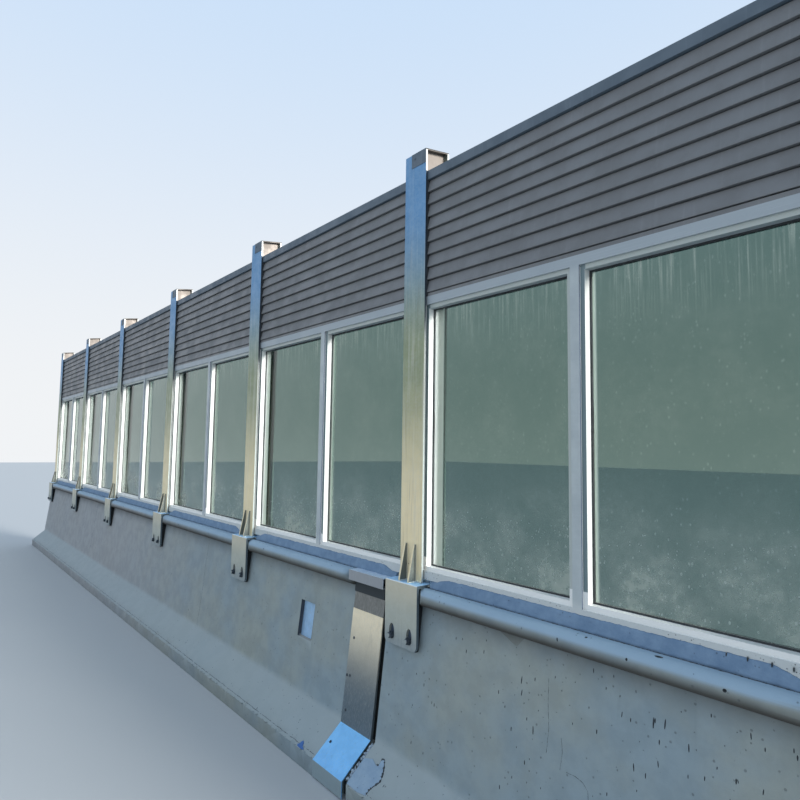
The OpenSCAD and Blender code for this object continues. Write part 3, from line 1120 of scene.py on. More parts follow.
def merged_copy(name: str, *nodes: str) -> bpy.types.Object:
    """Copies CAD nodes into one object with their loose triangles joined.

    Args:
        name: the copy's name.
        nodes: the nodes' names.

    Returns:
        The copy.
    """
    shape = bmesh.new()
    for node in nodes:
        shape.from_mesh(frame["nodes"][node].data)
    bmesh.ops.remove_doubles(shape, verts=shape.verts, dist=1e-5)
    bmesh.ops.dissolve_limit(
        shape, angle_limit=math.radians(0.5), verts=shape.verts, edges=shape.edges
    )
    return linked(name, shape_mesh(shape, bpy.data.meshes.new(name)))


def cut_away(thing: bpy.types.Object, *cutters: bpy.types.Object) -> None:
    """Cuts closed shapes out of a closed one and removes them.

    Args:
        thing: the object, whose mesh is replaced.
        cutters: the shapes; their material numbers carry over to the cuts.
    """
    for cutter in cutters:
        cut = thing.modifiers.new(cutter.name, "BOOLEAN")
        cut.operation = "DIFFERENCE"
        cut.solver = "MANIFOLD"
        cut.object = cutter
    baked(thing)
    for cutter in cutters:
        bpy.data.objects.remove(cutter)


def celled(mesh: bpy.types.Mesh, along: float, up: float) -> None:
    """Splits a mesh into cells along X and Z, so that cuts leave small sound faces.

    Args:
        mesh: the mesh, changed in place.
        along: the cells' size along X.
        up: the cells' size along Z.
    """
    shape = bmesh.new()
    shape.from_mesh(mesh)
    for axis, step in ((0, along), (2, up)):
        places = [corner.co[axis] for corner in shape.verts]
        low, high = min(places), max(places)
        normal = Vector([float(i == axis) for i in range(3)])
        for number in range(1, math.ceil((high - low) / step)):
            parts = [*shape.verts, *shape.edges, *shape.faces]
            place = normal * (low + number * step)
            bmesh.ops.bisect_plane(shape, geom=parts, dist=1e-5, plane_co=place, plane_no=normal)
    shape_mesh(shape, mesh)


def prisms(
    name: str, outlines: Iterable[tuple[Sequence[Point], Sequence[float]]], finish: bpy.types.Material
) -> bpy.types.Object:
    """Makes one piece of closed prisms.

    Args:
        name: the piece's name.
        outlines: each prism's outline, and the way and distance it is drawn out.
        finish: its material.

    Returns:
        The piece.
    """
    points: list[Point] = []
    faces: list[tuple[int, ...]] = []
    for outline, way in outlines:
        first, count = len(points), len(outline)
        points += [*outline, *(tuple(Vector(corner) + Vector(way)) for corner in outline)]
        near = [first + i for i in range(count)]
        far = [corner + count for corner in near]
        faces += [tuple(near), tuple(reversed(far))]
        faces += [(near[i - 1], near[i], far[i], far[i - 1]) for i in range(count)]
    mesh = poly_mesh(name, points, faces)
    shape = bmesh.new()
    shape.from_mesh(mesh)
    bmesh.ops.recalc_face_normals(shape, faces=shape.faces)
    shape_mesh(shape, mesh).materials.append(finish)
    return linked(name, mesh)


def tag(mesh: bpy.types.Mesh, label: str, vectors: Iterable[Point]) -> None:
    """Stores a vector on every point of a carrier, under a name for a tree to read."""
    for item, vector in zip(mesh.attributes.new(label, "FLOAT_VECTOR", "POINT").data, vectors):
        item.vector = vector


def pointed(places: Iterable[tuple[Point, Point]], label: str = "out") -> bpy.types.Mesh:
    """Makes a carrier of points that each know a vector, such as which way is out.

    Args:
        places: each point and its vector.
        label: the name that the vectors are stored under.

    Returns:
        The carrier.
    """
    places = list(places)
    mesh = poly_mesh("points", [place for place, _ in places])
    tag(mesh, label, [vector for _, vector in places])
    return mesh


def lined(lines: Iterable[Sequence[Point]]) -> bpy.types.Mesh:
    """Makes a carrier of open lines.

    Args:
        lines: the corners of each line.

    Returns:
        The carrier.
    """
    points: list[Point] = []
    edges: list[tuple[int, int]] = []
    for line in lines:
        first = len(points)
        points += line
        edges += [(first + i, first + i + 1) for i in range(len(line) - 1)]
    return poly_mesh("lines", points, edges=edges)


class Tool(Graph):
    """A Geometry Nodes tree with named inputs, run on a carrier mesh."""

    KINDS = {float: "NodeSocketFloat", tuple: "NodeSocketVector"}

    def __init__(self, name: str, **numbers: float | Point) -> None:
        """Opens the tree.

        Args:
            name: the tree's name.
            numbers: each input and its usual value.
        """
        super().__init__(bpy.data.node_groups.new(name, "GeometryNodeTree"))
        kinds = {label: self.KINDS[type(usual)] for label, usual in numbers.items()}
        kinds = {"carrier": "NodeSocketGeometry", **kinds, "finish": "NodeSocketMaterial"}
        self.keys: dict[str, str] = {}
        for label, kind in kinds.items():
            title = label.replace("_", " ").title()
            item = self.tree.interface.new_socket(title, in_out="INPUT", socket_type=kind)
            if label in numbers:
                item.default_value = numbers[label]
            self.keys[label] = item.identifier
        self.tree.interface.new_socket("Result", in_out="OUTPUT", socket_type="NodeSocketGeometry")
        start = self.tree.nodes.new("NodeGroupInput")
        self.inputs = {label: Flow(self, socket) for label, socket in zip(kinds, start.outputs)}
        self.carrier = self.inputs["carrier"]

    def close(self, geometry: Flow, smooth: bool = True) -> None:
        """Ends the tree in plain geometry with its material.

        Args:
            geometry: what the steps made.
            smooth: whether its faces are shaded smooth.
        """
        geometry = self.add("GeometryNodeRealizeInstances", geometry)
        geometry = self.add("GeometryNodeSetShadeSmooth", geometry, None, smooth)
        geometry = self.add("GeometryNodeSetMaterial", geometry, None, self.inputs["finish"])
        self.feed(self.tree.nodes.new("NodeGroupOutput").inputs[0], geometry)

    def run(
        self, name: str, carrier: bpy.types.Mesh, finish: bpy.types.Material, **numbers: float | Point
    ) -> bpy.types.Object:
        """Runs the tree on a carrier and keeps the plain result.

        Args:
            name: the new object's name.
            carrier: the mesh that the tree starts from.
            finish: the material of the result.
            numbers: inputs that differ from the usual.

        Returns:
            An object whose mesh is the result.
        """
        thing = linked(name, carrier)
        modifier = thing.modifiers.new(self.tree.name, "NODES")
        modifier.node_group = self.tree
        for label, value in {"finish": finish, **numbers}.items():
            modifier[self.keys[label]] = value
        baked(thing)
        return thing

    def place(self) -> Flow:
        """Returns the place of each point."""
        return self.add("GeometryNodeInputPosition")

    def named(self, name: str, kind: str = "FLOAT_VECTOR") -> Flow:
        """Returns what the carrier stores under a name."""
        return self.add("GeometryNodeInputNamedAttribute", name, data_type=kind)

    def random(self, low: Any, high: Any, seed: int) -> Flow:
        """Draws a number or a vector for each copy.

        Args:
            low: the least it can be: a number, a vector or a vector input.
            high: the most it can be.
            seed: the fixed seed.

        Returns:
            The drawn value.
        """
        plain = isinstance(low, float)
        kind = "FLOAT" if plain else "FLOAT_VECTOR"
        return self.add("FunctionNodeRandomValue", low, high, None, seed, data_type=kind)

    def path(self) -> Flow:
        """Returns the carrier's lines as curves with a point at every step."""
        path = self.add("GeometryNodeMeshToCurve", self.carrier)
        return self.add("GeometryNodeResampleCurve", path, None, self.inputs["step"], mode="LENGTH")

    def scatter(self, density: Any, seed: int) -> Flow:
        """Returns points that keep the tree's gap on the faces of the carrier."""
        feeds = (self.carrier, None, self.inputs["gap"], self.inputs["density"], density, seed)
        return self.add("GeometryNodeDistributePointsOnFaces", *feeds, distribute_method="POISSON")

    def spread(self, points: Flow, shape: Flow, turn: Any = None, size: Any = None) -> Flow:
        """Returns copies of a shape on points, each with its own turn and size."""
        return self.add("GeometryNodeInstanceOnPoints", points, None, shape, None, None, turn, size)

    def moved(self, shape: Flow, way: Any, turn: Any = None, size: Any = None) -> Flow:
        """Returns a shape moved, turned and sized."""
        return self.add("GeometryNodeTransform", shape, way, turn, size)

    def shift(self, shape: Flow, way: Flow) -> Flow:
        """Returns a shape whose points each move their own way."""
        return self.add("GeometryNodeSetPosition", shape, None, None, way)

    def cloud(self, place: Flow, scale: float, detail: float, rough: float) -> Flow:
        """Returns a cloud of vectors about zero, read at a place."""
        return self.noise(place, scale, detail, rough).out("Color") - (0.5, 0.5, 0.5)

    def join(self, *shapes: Flow) -> Flow:
        """Returns shapes as one geometry."""
        return self.add("GeometryNodeJoinGeometry", list(reversed(shapes)))

    def drum(self, corners: int, radius: Any, height: Any) -> Flow:
        """Returns an upright cylinder or prism about the origin."""
        return self.add("GeometryNodeMeshCylinder", corners, 1, 1, radius, height)

    def ball(self, radius: float = 1.0) -> Flow:
        """Returns a round shape of a few dozen faces."""
        return self.add("GeometryNodeMeshIcoSphere", radius, 2)

    def facing_out(self, **settings: str) -> Flow:
        """Returns the turn that points Z the way that the carrier stores as out."""
        feeds = (None, 1.0, self.named("out"))
        return self.add("FunctionNodeAlignRotationToVector", *feeds, axis="Z", **settings)


def ball_tool(name: str, lean: float = 0.0) -> Tool:
    """Builds the tree that sets one ball of its own size on every point.

    Args:
        name: the tree's name.
        lean: how far each one may turn about Y, in radians.

    Returns:
        The tree.
    """
    tool = Tool(name, lean=lean)
    turn = tool.xyz(0.0, tool.random(-1.0, 0.5, seed=14) * tool.inputs["lean"], 0.0)
    tool.close(tool.spread(tool.carrier, tool.ball(), turn, tool.named("size")))
    return tool


# Sub-assemblies


@dataclass
class Parapet:
    """The cast concrete base, with its pores, chipped kerb and a mortar patch.

    Each mark is its place along X, its height, and its size in millimetres.
    """

    wardrobe: Wardrobe
    sizes: Sizes = SIZES
    inset: float = 0.02
    corner: float = 0.03
    pocket_x: Pair = (2.90, 3.11)
    pocket_z: Pair = (0.57, 0.82)
    pocket_back: float = 0.05
    pore_gap: float = 0.042
    pore_density: float = 120.0
    pore_crowd: Pair = (0.42, 0.62)
    pore_least: float = 0.06
    pore_bias: float = 1.8
    pore_small: Point = (0.0012, 0.0022, 0.0019)
    pore_large: Point = (0.0027, 0.0040, 0.0100)
    cell_along: float = 0.157
    cell_up: float = 0.149
    chip_step: float = 0.060
    chip_small: Point = (0.008, 0.002, 0.002)
    chip_large: Point = (0.027, 0.006, 0.006)
    chip_jog: tuple[Point, Point] = ((-0.010, 0.0, 0.0), (0.010, 0.0025, 0.0))
    chip_turn: tuple[Point, Point] = ((-0.4, -0.5, -0.4), (0.4, 0.5, 0.4))
    rim_in: float = 0.002
    pore_face_in: Pair = (0.02, 0.09)
    pore_toe: Pair = (0.12, 0.88)
    pore_kerb_in: Pair = (0.02, 0.025)
    patch_thick: float = 0.003
    mark_deep: float = 0.004
    mark_wide: float = 0.0013
    mark_widens: float = 0.00003
    mark_tall: float = 1 / 2300
    mark_lean: float = 0.25
    nose_mark_deep: float = 0.006
    marks: tuple[Point, ...] = (
        (4.773, 0.835, 45), (4.778, 0.785, 35), (4.849, 0.660, 48), (5.241, 0.850, 26),
        (5.362, 0.862, 58), (5.404, 0.872, 49), (5.488, 0.825, 36), (5.680, 0.930, 26),
        (5.295, 0.690, 37), (5.340, 0.680, 24), (5.384, 0.735, 28), (4.652, 0.750, 21),
        (4.681, 0.715, 9), (4.977, 0.853, 9), (5.035, 0.748, 12), (4.869, 0.742, 8),
        (4.438, 0.598, 9), (4.238, 0.575, 16), (4.275, 0.566, 10), (5.488, 0.736, 16),
        (5.542, 0.752, 19), (5.580, 0.798, 12), (5.644, 0.784, 15), (5.717, 0.783, 22),
        (5.201, 0.972, 13), (5.115, 0.968, 23), (5.292, 0.945, 13), (5.230, 0.910, 11),
        (5.799, 0.931, 18), (4.840, 0.546, 9), (4.843, 0.502, 9), (4.10, 0.52, 12),
    )
    nose_marks: tuple[tuple[float, float, float, float], ...] = (
        (4.982, 1.062, 3.0, 8.0), (5.283, 1.066, 4.5, 5.5), (5.623, 1.062, 7.0, 6.0),
        (5.390, 1.098, 17.0, 5.0), (5.100, 1.095, 6.0, 3.0), (2.40, 1.070, 4.0, 6.0),
        (0.62, 1.060, 5.0, 5.0), (-1.31, 1.072, 7.0, 4.0),
    )
    patch: tuple[Pair, ...] = (
        (3.8352, 0.62), (3.8905, 0.70), (3.937, 0.63), (3.952, 0.64), (3.949, 0.79),
        (3.968, 0.80), (3.986, 0.69), (4.008, 0.56), (4.020, 0.43), (4.004, 0.32),
        (3.990, 0.21), (3.988, 0.06), (3.930, 0.02), (3.8352, 0.03),
    )
    fleck: tuple[Pair, ...] = (
        (3.350, 0.185), (3.338, 0.130), (3.341, 0.095), (3.326, 0.060), (3.331, 0.020),
        (3.366, 0.012), (3.398, 0.022), (3.389, 0.060), (3.372, 0.080), (3.366, 0.140),
    )

    def pore_tool(self) -> Tool:
        """Builds the tree that scatters pore cutters over patches of the surface.

        Returns:
            The tree.
        """
        tool = Tool(
            "pore cutters",
            gap=self.pore_gap,
            density=self.pore_density,
            small=self.pore_small,
            large=self.pore_large,
        )
        crowd = tool.noise(tool.place(), scale=2.3, detail=2.0, rough=0.6)
        crowd = crowd.ramp(*self.pore_crowd, low=self.pore_least)
        points = tool.scatter(crowd, seed=11)
        normal = points.out("Normal")
        turn = tool.add(
            "FunctionNodeAlignRotationToVector", None, 1.0, normal, axis="Y", pivot_axis="X"
        )
        share = tool.random(0.0, 1.0, seed=5).sum("POWER", self.pore_bias)
        sizes = (tool.inputs["small"], tool.inputs["large"])
        size = tool.add("ShaderNodeMix", share, *sizes, data_type="VECTOR")
        tool.close(tool.spread(points, tool.ball(), turn, size))
        return tool

    def chip_tool(self) -> Tool:
        """Builds the tree that sets chip cutters along an edge.

        Returns:
            The tree.
        """
        tool = Tool("chip cutters", step=self.chip_step, small=self.chip_small, large=self.chip_large)
        jog = tool.random(*self.chip_jog, seed=3)
        path = tool.shift(tool.path(), jog)
        size = tool.random(tool.inputs["small"], tool.inputs["large"], seed=8)
        turn = tool.random(*self.chip_turn, seed=9)
        tool.close(tool.spread(path, tool.ball(), turn, size))
        return tool

    def patches(self, spans: Sequence[Pair]) -> bpy.types.Mesh:
        """Makes the surface patches that pores are scattered over.

        Args:
            spans: the stretches along X that show their face.

        Returns:
            A mesh of face, toe and kerb strips, looking outwards.
        """
        s = self.sizes
        low, high = s.toe_z + self.pore_face_in[0], s.nose_z - self.pore_face_in[1]
        strips = [
            (s.face_y(low), low, s.face_y(high), high),
            (*s.toe_at(self.pore_toe[0]), *s.toe_at(self.pore_toe[1])),
            (s.kerb_y, self.pore_kerb_in[0], s.kerb_y, s.kerb_z - self.pore_kerb_in[1]),
        ]
        points: list[Point] = []
        for x0, x1 in spans:
            for y0, z0, y1, z1 in strips:
                points += [(x0, y0, z0), (x1, y0, z0), (x1, y1, z1), (x0, y1, z1)]
        faces = [tuple(range(first, first + 4)) for first in range(0, len(points), 4)]
        return poly_mesh("pore patches", points, faces)

    def mark_points(self) -> bpy.types.Mesh:
        """Makes the carrier of the marks that the concrete beside the joint shows.

        Returns:
            Points on the face and the nose, each with the size of its mark.
        """
        s = self.sizes
        places: list[tuple[Point, Point]] = []
        for x, z, tall in self.marks:
            size = (self.mark_wide + self.mark_widens * tall, self.mark_deep, tall * self.mark_tall)
            places.append(((x, s.face_y(z), z), size))
        for x, z, wide, tall in self.nose_marks:
            depth = s.nose_y + s.nose_round - math.sqrt(s.nose_round**2 - (z - s.nose_z) ** 2)
            places.append(((x, depth, z), (wide / 1000, self.nose_mark_deep, tall / 1000)))
        return pointed(places, "size")

    def in_pocket(self, place: Vector) -> bool:
        """Tells whether a point lies on the inside of the recessed pocket.

        Args:
            place: the point.

        Returns:
            True on its rim and back.
        """
        (left, right), (low, high) = self.pocket_x, self.pocket_z
        behind = self.sizes.face_y(place.z) + self.rim_in < place.y < self.pocket_back
        return behind and left < place.x < right and low < place.z < high

    def carve(self, node: str, spans: Sequence[Pair], edge: Pair, tools: Sequence[Tool]) -> None:
        """Makes the weathered copy of one length of concrete.

        Args:
            node: the CAD node that the copy replaces.
            spans: the stretches that take pores.
            edge: where its kerb edge starts and ends.
            tools: the trees for pores, marks and chips.
        """
        s, w = self.sizes, self.wardrobe
        wall = merged_copy(f"weathered_{node}", node)
        celled(wall.data, self.cell_along, self.cell_up)
        for finish in (w.concrete, w.hollow, w.rim):
            wall.data.materials.append(finish)
        for face in wall.data.polygons:
            if self.in_pocket(face.center):
                face.material_index = 2
        carriers = (
            self.patches(spans),
            self.mark_points(),
            lined([[(x, s.kerb_y, s.kerb_z) for x in edge]]),
        )
        cutters = []
        for tool, carrier, number in zip(tools, carriers, (1, 1, 0)):
            cutter = tool.run(tool.tree.name, carrier, w.hollow)
            cutter.data.materials.clear()
            for finish in (w.concrete, w.hollow):
                cutter.data.materials.append(finish)
            for face in cutter.data.polygons:
                face.material_index = number
            cutters.append(cutter)
        cut_away(wall, *cutters)
        smoothed(wall)
        finish_piece(wall, "concrete", node)

    def add_patch(self, name: str, outline: Sequence[Pair], finish: bpy.types.Material) -> None:
        """Lays a thin ragged patch on the toe.

        Args:
            name: the piece's name.
            outline: its corners, each a place along X and a share of the toe's slope.
            finish: its material.
        """
        (y0, z0), (y1, z1) = (self.sizes.toe_at(share) for share in (0.0, 1.0))
        out = Vector((0.0, z0 - z1, y1 - y0)).normalized() * self.patch_thick
        corners = [(x, *self.sizes.toe_at(share)) for x, share in outline]
        finish_piece(prisms(name, [(corners, out)], finish), "mortar")

    def build(self) -> None:
        """Builds both lengths, the repair beside the joint and the mark at the kerb."""
        s = self.sizes
        tools = (self.pore_tool(), ball_tool("mark cutters", self.mark_lean), self.chip_tool())
        left, right = s.cover_x[0] - self.inset, s.joint_x[1] + self.inset
        spans = [(-s.end + self.inset, self.pocket_x[0]), (self.pocket_x[1], left)]
        self.carve("parapet_left", spans, (-s.end + self.corner, left), tools)
        spans = [(right, s.end - self.inset)]
        self.carve("parapet_right", spans, (right, s.end - self.corner), tools)
        self.add_patch("toe_patch", self.patch, self.wardrobe.repair)
        self.add_patch("kerb_mark", self.fleck, self.wardrobe.chalk)


@dataclass
class MortarBeds:
    """The trowelled beds under the glazed frames, ragged along their edges.

    Each corner of the outline is its depth, its height, and how loose it is.
    """

    wardrobe: Wardrobe
    sizes: Sizes = SIZES
    rough: float = 0.0090
    drawn: Point = (0.6, 1.0, 1.0)
    level: Point = (0.5, 0.5, 0.45)
    reach: Point = (0.3, 1.1, 2.6)
    step: float = 0.010
    gap: float = 0.008
    taper: float = 0.140
    thin: float = 0.45
    hole_in: float = 0.010
    hole_y: float = 0.012
    hole_up: float = 0.007
    hole: Point = (0.010, 0.008, 0.007)
    tick_y: float = 0.0245
    tick: Point = (0.0022, 0.005, 0.009)
    ticks: tuple[Pair, ...] = ((5.6655, 1.156), (5.7364, 1.158), (5.7967, 1.160), (5.60, 1.152))
    outline: tuple[Point, ...] = (
        (0.010, 1.0990, 0.6), (0.013, 1.110, 1.0), (0.017, 1.127, 1.0), (0.021, 1.143, 1.0),
        (0.0245, 1.154, 0.9), (0.0290, 1.158, 0.8), (0.0295, 1.136, 0.0), (0.1225, 1.136, 0.0),
        (0.1230, 1.158, 0.8), (0.1275, 1.154, 0.9), (0.131, 1.143, 1.0), (0.135, 1.127, 1.0),
        (0.139, 1.110, 1.0), (0.142, 1.0990, 0.6),
    )

    def tool(self) -> Tool:
        """Builds the tree that roughens a straight bed.

        Returns:
            The tree.
        """
        tool = Tool("trowelled bed", rough=self.rough)
        place = tool.place() * self.drawn
        clouds = tool.noise(place, scale=30.0, detail=5.0, rough=0.72).out("Color")
        way = (clouds - self.level) * self.reach
        give = tool.named("give", "FLOAT") * tool.inputs["rough"]
        tool.close(tool.shift(tool.carrier, way.sum("SCALE", give)))
        return tool

    def fullness(self, away: float) -> float:
        """Returns how high the bed stands at a distance from its end, as a share."""
        share = min(away / self.taper, 1.0)
        return self.thin + (1.0 - self.thin) * share * share * (3.0 - 2.0 * share)

    def straight_beds(self) -> bpy.types.Mesh:
        """Makes all beds as smooth bars, with how far each point may move.

        Returns:
            The mesh that the tree roughens.
        """
        top = self.sizes.parapet_top
        points: list[Point] = []
        faces: list[tuple[int, ...]] = []
        give: list[float] = []
        wide = len(self.outline)
        for bay in BAYS:
            x0, x1 = self.sizes.bed_x(bay, self.gap)
            steps = round((x1 - x0) / self.step)
            first = len(points)
            for ring in range(steps + 1):
                x = x0 + (x1 - x0) * ring / steps
                full = self.fullness(min(x - x0, x1 - x))
                for y, z, loose in self.outline:
                    points.append((x, y, top + (z - top) * (full if loose else 1.0)))
                    give.append(loose * full)
            for start in range(first, first + steps * wide, wide):
                for a, b in ((start + i, start + (i + 1) % wide) for i in range(wide)):
                    faces.append((a, b, b + wide, a + wide))
            last = first + steps * wide
            faces.append(tuple(range(first + wide - 1, first - 1, -1)))
            faces.append(tuple(range(last, last + wide)))
        mesh = poly_mesh("bed", points, faces)
        mesh.attributes.new("give", "FLOAT", "POINT").data.foreach_set("value", give)
        return mesh

    def openings(self) -> None:
        """Sets the dark openings at the end of every bed and the ticks on its upper edge."""
        s = self.sizes
        level = s.parapet_top + self.hole_up
        ends = [x for bay in BAYS for x in s.bed_x(bay, self.hole_in)]
        places = [((x, self.hole_y, level), self.hole) for x in ends]
        places += [((x, self.tick_y, z), self.tick) for x, z in self.ticks]
        tool = ball_tool("bed openings")
        dark = tool.run("bed_openings", pointed(places, "size"), self.wardrobe.rubber)
        finish_piece(dark, "mortar")

    def build(self) -> None:
        """Builds all beds as one piece, then the openings."""
        bed = self.tool().run("mortar_beds", self.straight_beds(), self.wardrobe.mortar)
        finish_piece(bed, "mortar", "bedding")
        self.openings()


@dataclass
class JointFilling:
    """What shows in the open joint: a sunken filler board, broken mortar, and a dark strip that paints the
    shadow under the drop of the cap.
    """

    wardrobe: Wardrobe
    sizes: Sizes = SIZES
    sunk: float = 0.045
    below_top: float = 0.03
    lean_in: float = 0.01
    slack: float = 0.0005
    raised: float = 0.004
    stone: float = 0.0095
    stone_density: float = 9000.0
    stone_gap: float = 0.0075
    stone_turn: tuple[Point, Point] = ((0.0, 0.0, 0.0), (6.0, 6.0, 6.0))
    stone_size: tuple[Point, Point] = ((0.5, 0.6, 0.5), (1.5, 1.2, 1.1))
    stone_rough: float = 0.012
    strip_in: Pair = (0.013, 0.004)
    strip_share: Pair = (0.10, 0.97)
    # painted shadow: the dark strip under the drop of the cap
    shadow_strip_in: float = 0.001
    shadow_strip_outline: tuple[Pair, ...] = (
        (0.002, 1.0455), (-0.0065, 1.0455), (-0.0110, 0.974), (-0.004, 0.974),
    )

    def between(
        self, name: str, ends: Pair, outline: Iterable[Pair], finish: bpy.types.Material, slot: str
    ) -> None:
        """Makes a bar between two places along X, from a section of depths and heights."""
        corners = [(ends[0], y, z) for y, z in outline]
        finish_piece(prisms(name, [(corners, (ends[1] - ends[0], 0.0, 0.0))], finish), slot)

    def board(self) -> None:
        """Builds the filler board between the two lengths of concrete."""
        s, inset = self.sizes, self.sunk
        high = s.parapet_top - self.below_top
        outline = [
            (s.kerb_y + inset, 0.0), (s.kerb_y + inset, s.kerb_z - 0.5 * inset),
            (s.toe_y + inset, s.toe_z - 0.5 * inset), (s.lean_y + inset - self.lean_in, high),
            (s.wall_back - inset, high), (s.wall_back - inset, 0.0),
        ]
        ends = (s.joint_x[0] + self.slack, s.joint_x[1] - self.slack)
        self.between("joint_filler", ends, outline, self.wardrobe.foam, "concrete")

    def stone_tool(self) -> Tool:
        """Builds the tree that scatters broken pieces over a strip.

        Returns:
            The tree.
        """
        tool = Tool("broken mortar", density=self.stone_density, gap=self.stone_gap)
        points = tool.scatter(None, seed=2)
        turn = tool.random(*self.stone_turn, seed=21)
        size = tool.random(*self.stone_size, seed=22)
        stones = tool.spread(points, tool.ball(self.stone), turn, size)
        stones = tool.add("GeometryNodeRealizeInstances", stones)
        reach = (self.stone_rough,) * 3
        way = tool.cloud(tool.place(), scale=170.0, detail=2.0, rough=0.6) * reach
        tool.close(tool.shift(stones, way), smooth=False)
        return tool

    def stones(self) -> None:
        """Packs broken mortar into the right side of the joint at the toe."""
        s = self.sizes
        ends = (s.cover_x[1] + self.strip_in[0], s.joint_x[1] - self.strip_in[1])
        low, high = (s.toe_at(share) for share in self.strip_share)
        corners = [(x, y + self.raised, z - self.raised) for y, z in (low, high) for x in ends]
        strip = poly_mesh("strip", corners, [(0, 1, 3, 2)])
        rubble = self.stone_tool().run("joint_rubble", strip, self.wardrobe.rubble)
        finish_piece(rubble, "mortar")

    def build(self) -> None:
        """Builds the board, the broken mortar and the dark strip that paints the shadow under the drop of
        the cap.
        """
        self.board()
        self.stones()
        left, right = self.sizes.cover_x
        ends = (left + self.shadow_strip_in, right - self.shadow_strip_in)
        self.between("cap_shadow_strip", ends, self.shadow_strip_outline, self.wardrobe.shadow_strip, "cover_cap")


@dataclass
class Hairlines:
    """Thin dark cracks and open seams that wander over the concrete."""

    wardrobe: Wardrobe
    sizes: Sizes = SIZES
    thick: Pair = (0.35, 1.5)
    seam_y: float = 0.0095
    seam_in: float = 0.01
    kerb_share: float = 0.09
    kerb_x: tuple[Pair, ...] = ((-6.10, 3.50), (3.85, 6.10))
    face_cracks: tuple[tuple[Pair, ...], ...] = (
        ((4.910, 0.882), (4.915, 0.785), (4.926, 0.691), (4.921, 0.60)),
        ((5.019, 0.565), (5.059, 0.567), (5.094, 0.558), (5.117, 0.537), (5.121, 0.50)),
        ((4.987, 0.679), (4.996, 0.630), (4.989, 0.563)),
        ((1.270, 1.000), (1.262, 0.80), (1.275, 0.55), (1.266, 0.27)),
        ((-2.740, 0.99), (-2.751, 0.70), (-2.742, 0.40)),
    )
    toe_crack: tuple[Pair, ...] = (
        (3.937, 0.66), (3.952, 0.66), (3.949, 0.80), (3.964, 0.815), (3.986, 0.70),
        (4.008, 0.56), (4.020, 0.43), (4.004, 0.32), (3.990, 0.21), (3.986, 0.08),
    )

    def tool(self) -> Tool:
        """Builds the tree that turns lines into thin ragged ribbons.

        Returns:
            The tree.
        """
        tool = Tool("wandering cracks", width=0.0009, wander=0.006, step=0.006)
        way = tool.cloud(tool.place(), scale=38.0, detail=4.0, rough=0.7) * tool.named("sway")
        path = tool.shift(tool.path(), way.sum("SCALE", tool.inputs["wander"]))
        ring = tool.add("GeometryNodeCurvePrimitiveCircle", 5, tool.inputs["width"])
        thick = tool.random(*self.thick, seed=17)
        tool.close(tool.add("GeometryNodeCurveToMesh", path, ring, thick, True))
        return tool

    def build(self) -> None:
        """Builds the cracks of face, toe and kerb, and the seams beside the beds."""
        s = self.sizes
        kerb = s.toe_at(self.kerb_share)
        pieces = (
            ("face_cracks", [[(x, s.face_y(z), z) for x, z in line] for line in self.face_cracks],
             (1.0, 0.0, 0.4), {"width": 0.0007}),
            ("toe_crack", [[(x, *s.toe_at(share)) for x, share in self.toe_crack]],
             (1.0, 0.3, 0.25), {"width": 0.0048, "wander": 0.012}),
            ("kerb_cracks", [[(x, *kerb) for x in ends] for ends in self.kerb_x],
             (0.0, 0.85, 0.72), {"width": 0.0013, "wander": 0.016}),
            ("bed_seams",
             [[(x, self.seam_y, s.parapet_top) for x in s.bed_x(bay, self.seam_in)] for bay in BAYS],
             (0.0, 1.0, 0.0), {"width": 0.0017, "wander": 0.010}),
        )
        tool = self.tool()
        for name, lines, sway, numbers in pieces:
            carrier = lined(lines)
            tag(carrier, "sway", [sway] * len(carrier.vertices))
            finish_piece(tool.run(name, carrier, self.wardrobe.hollow, **numbers), "concrete")


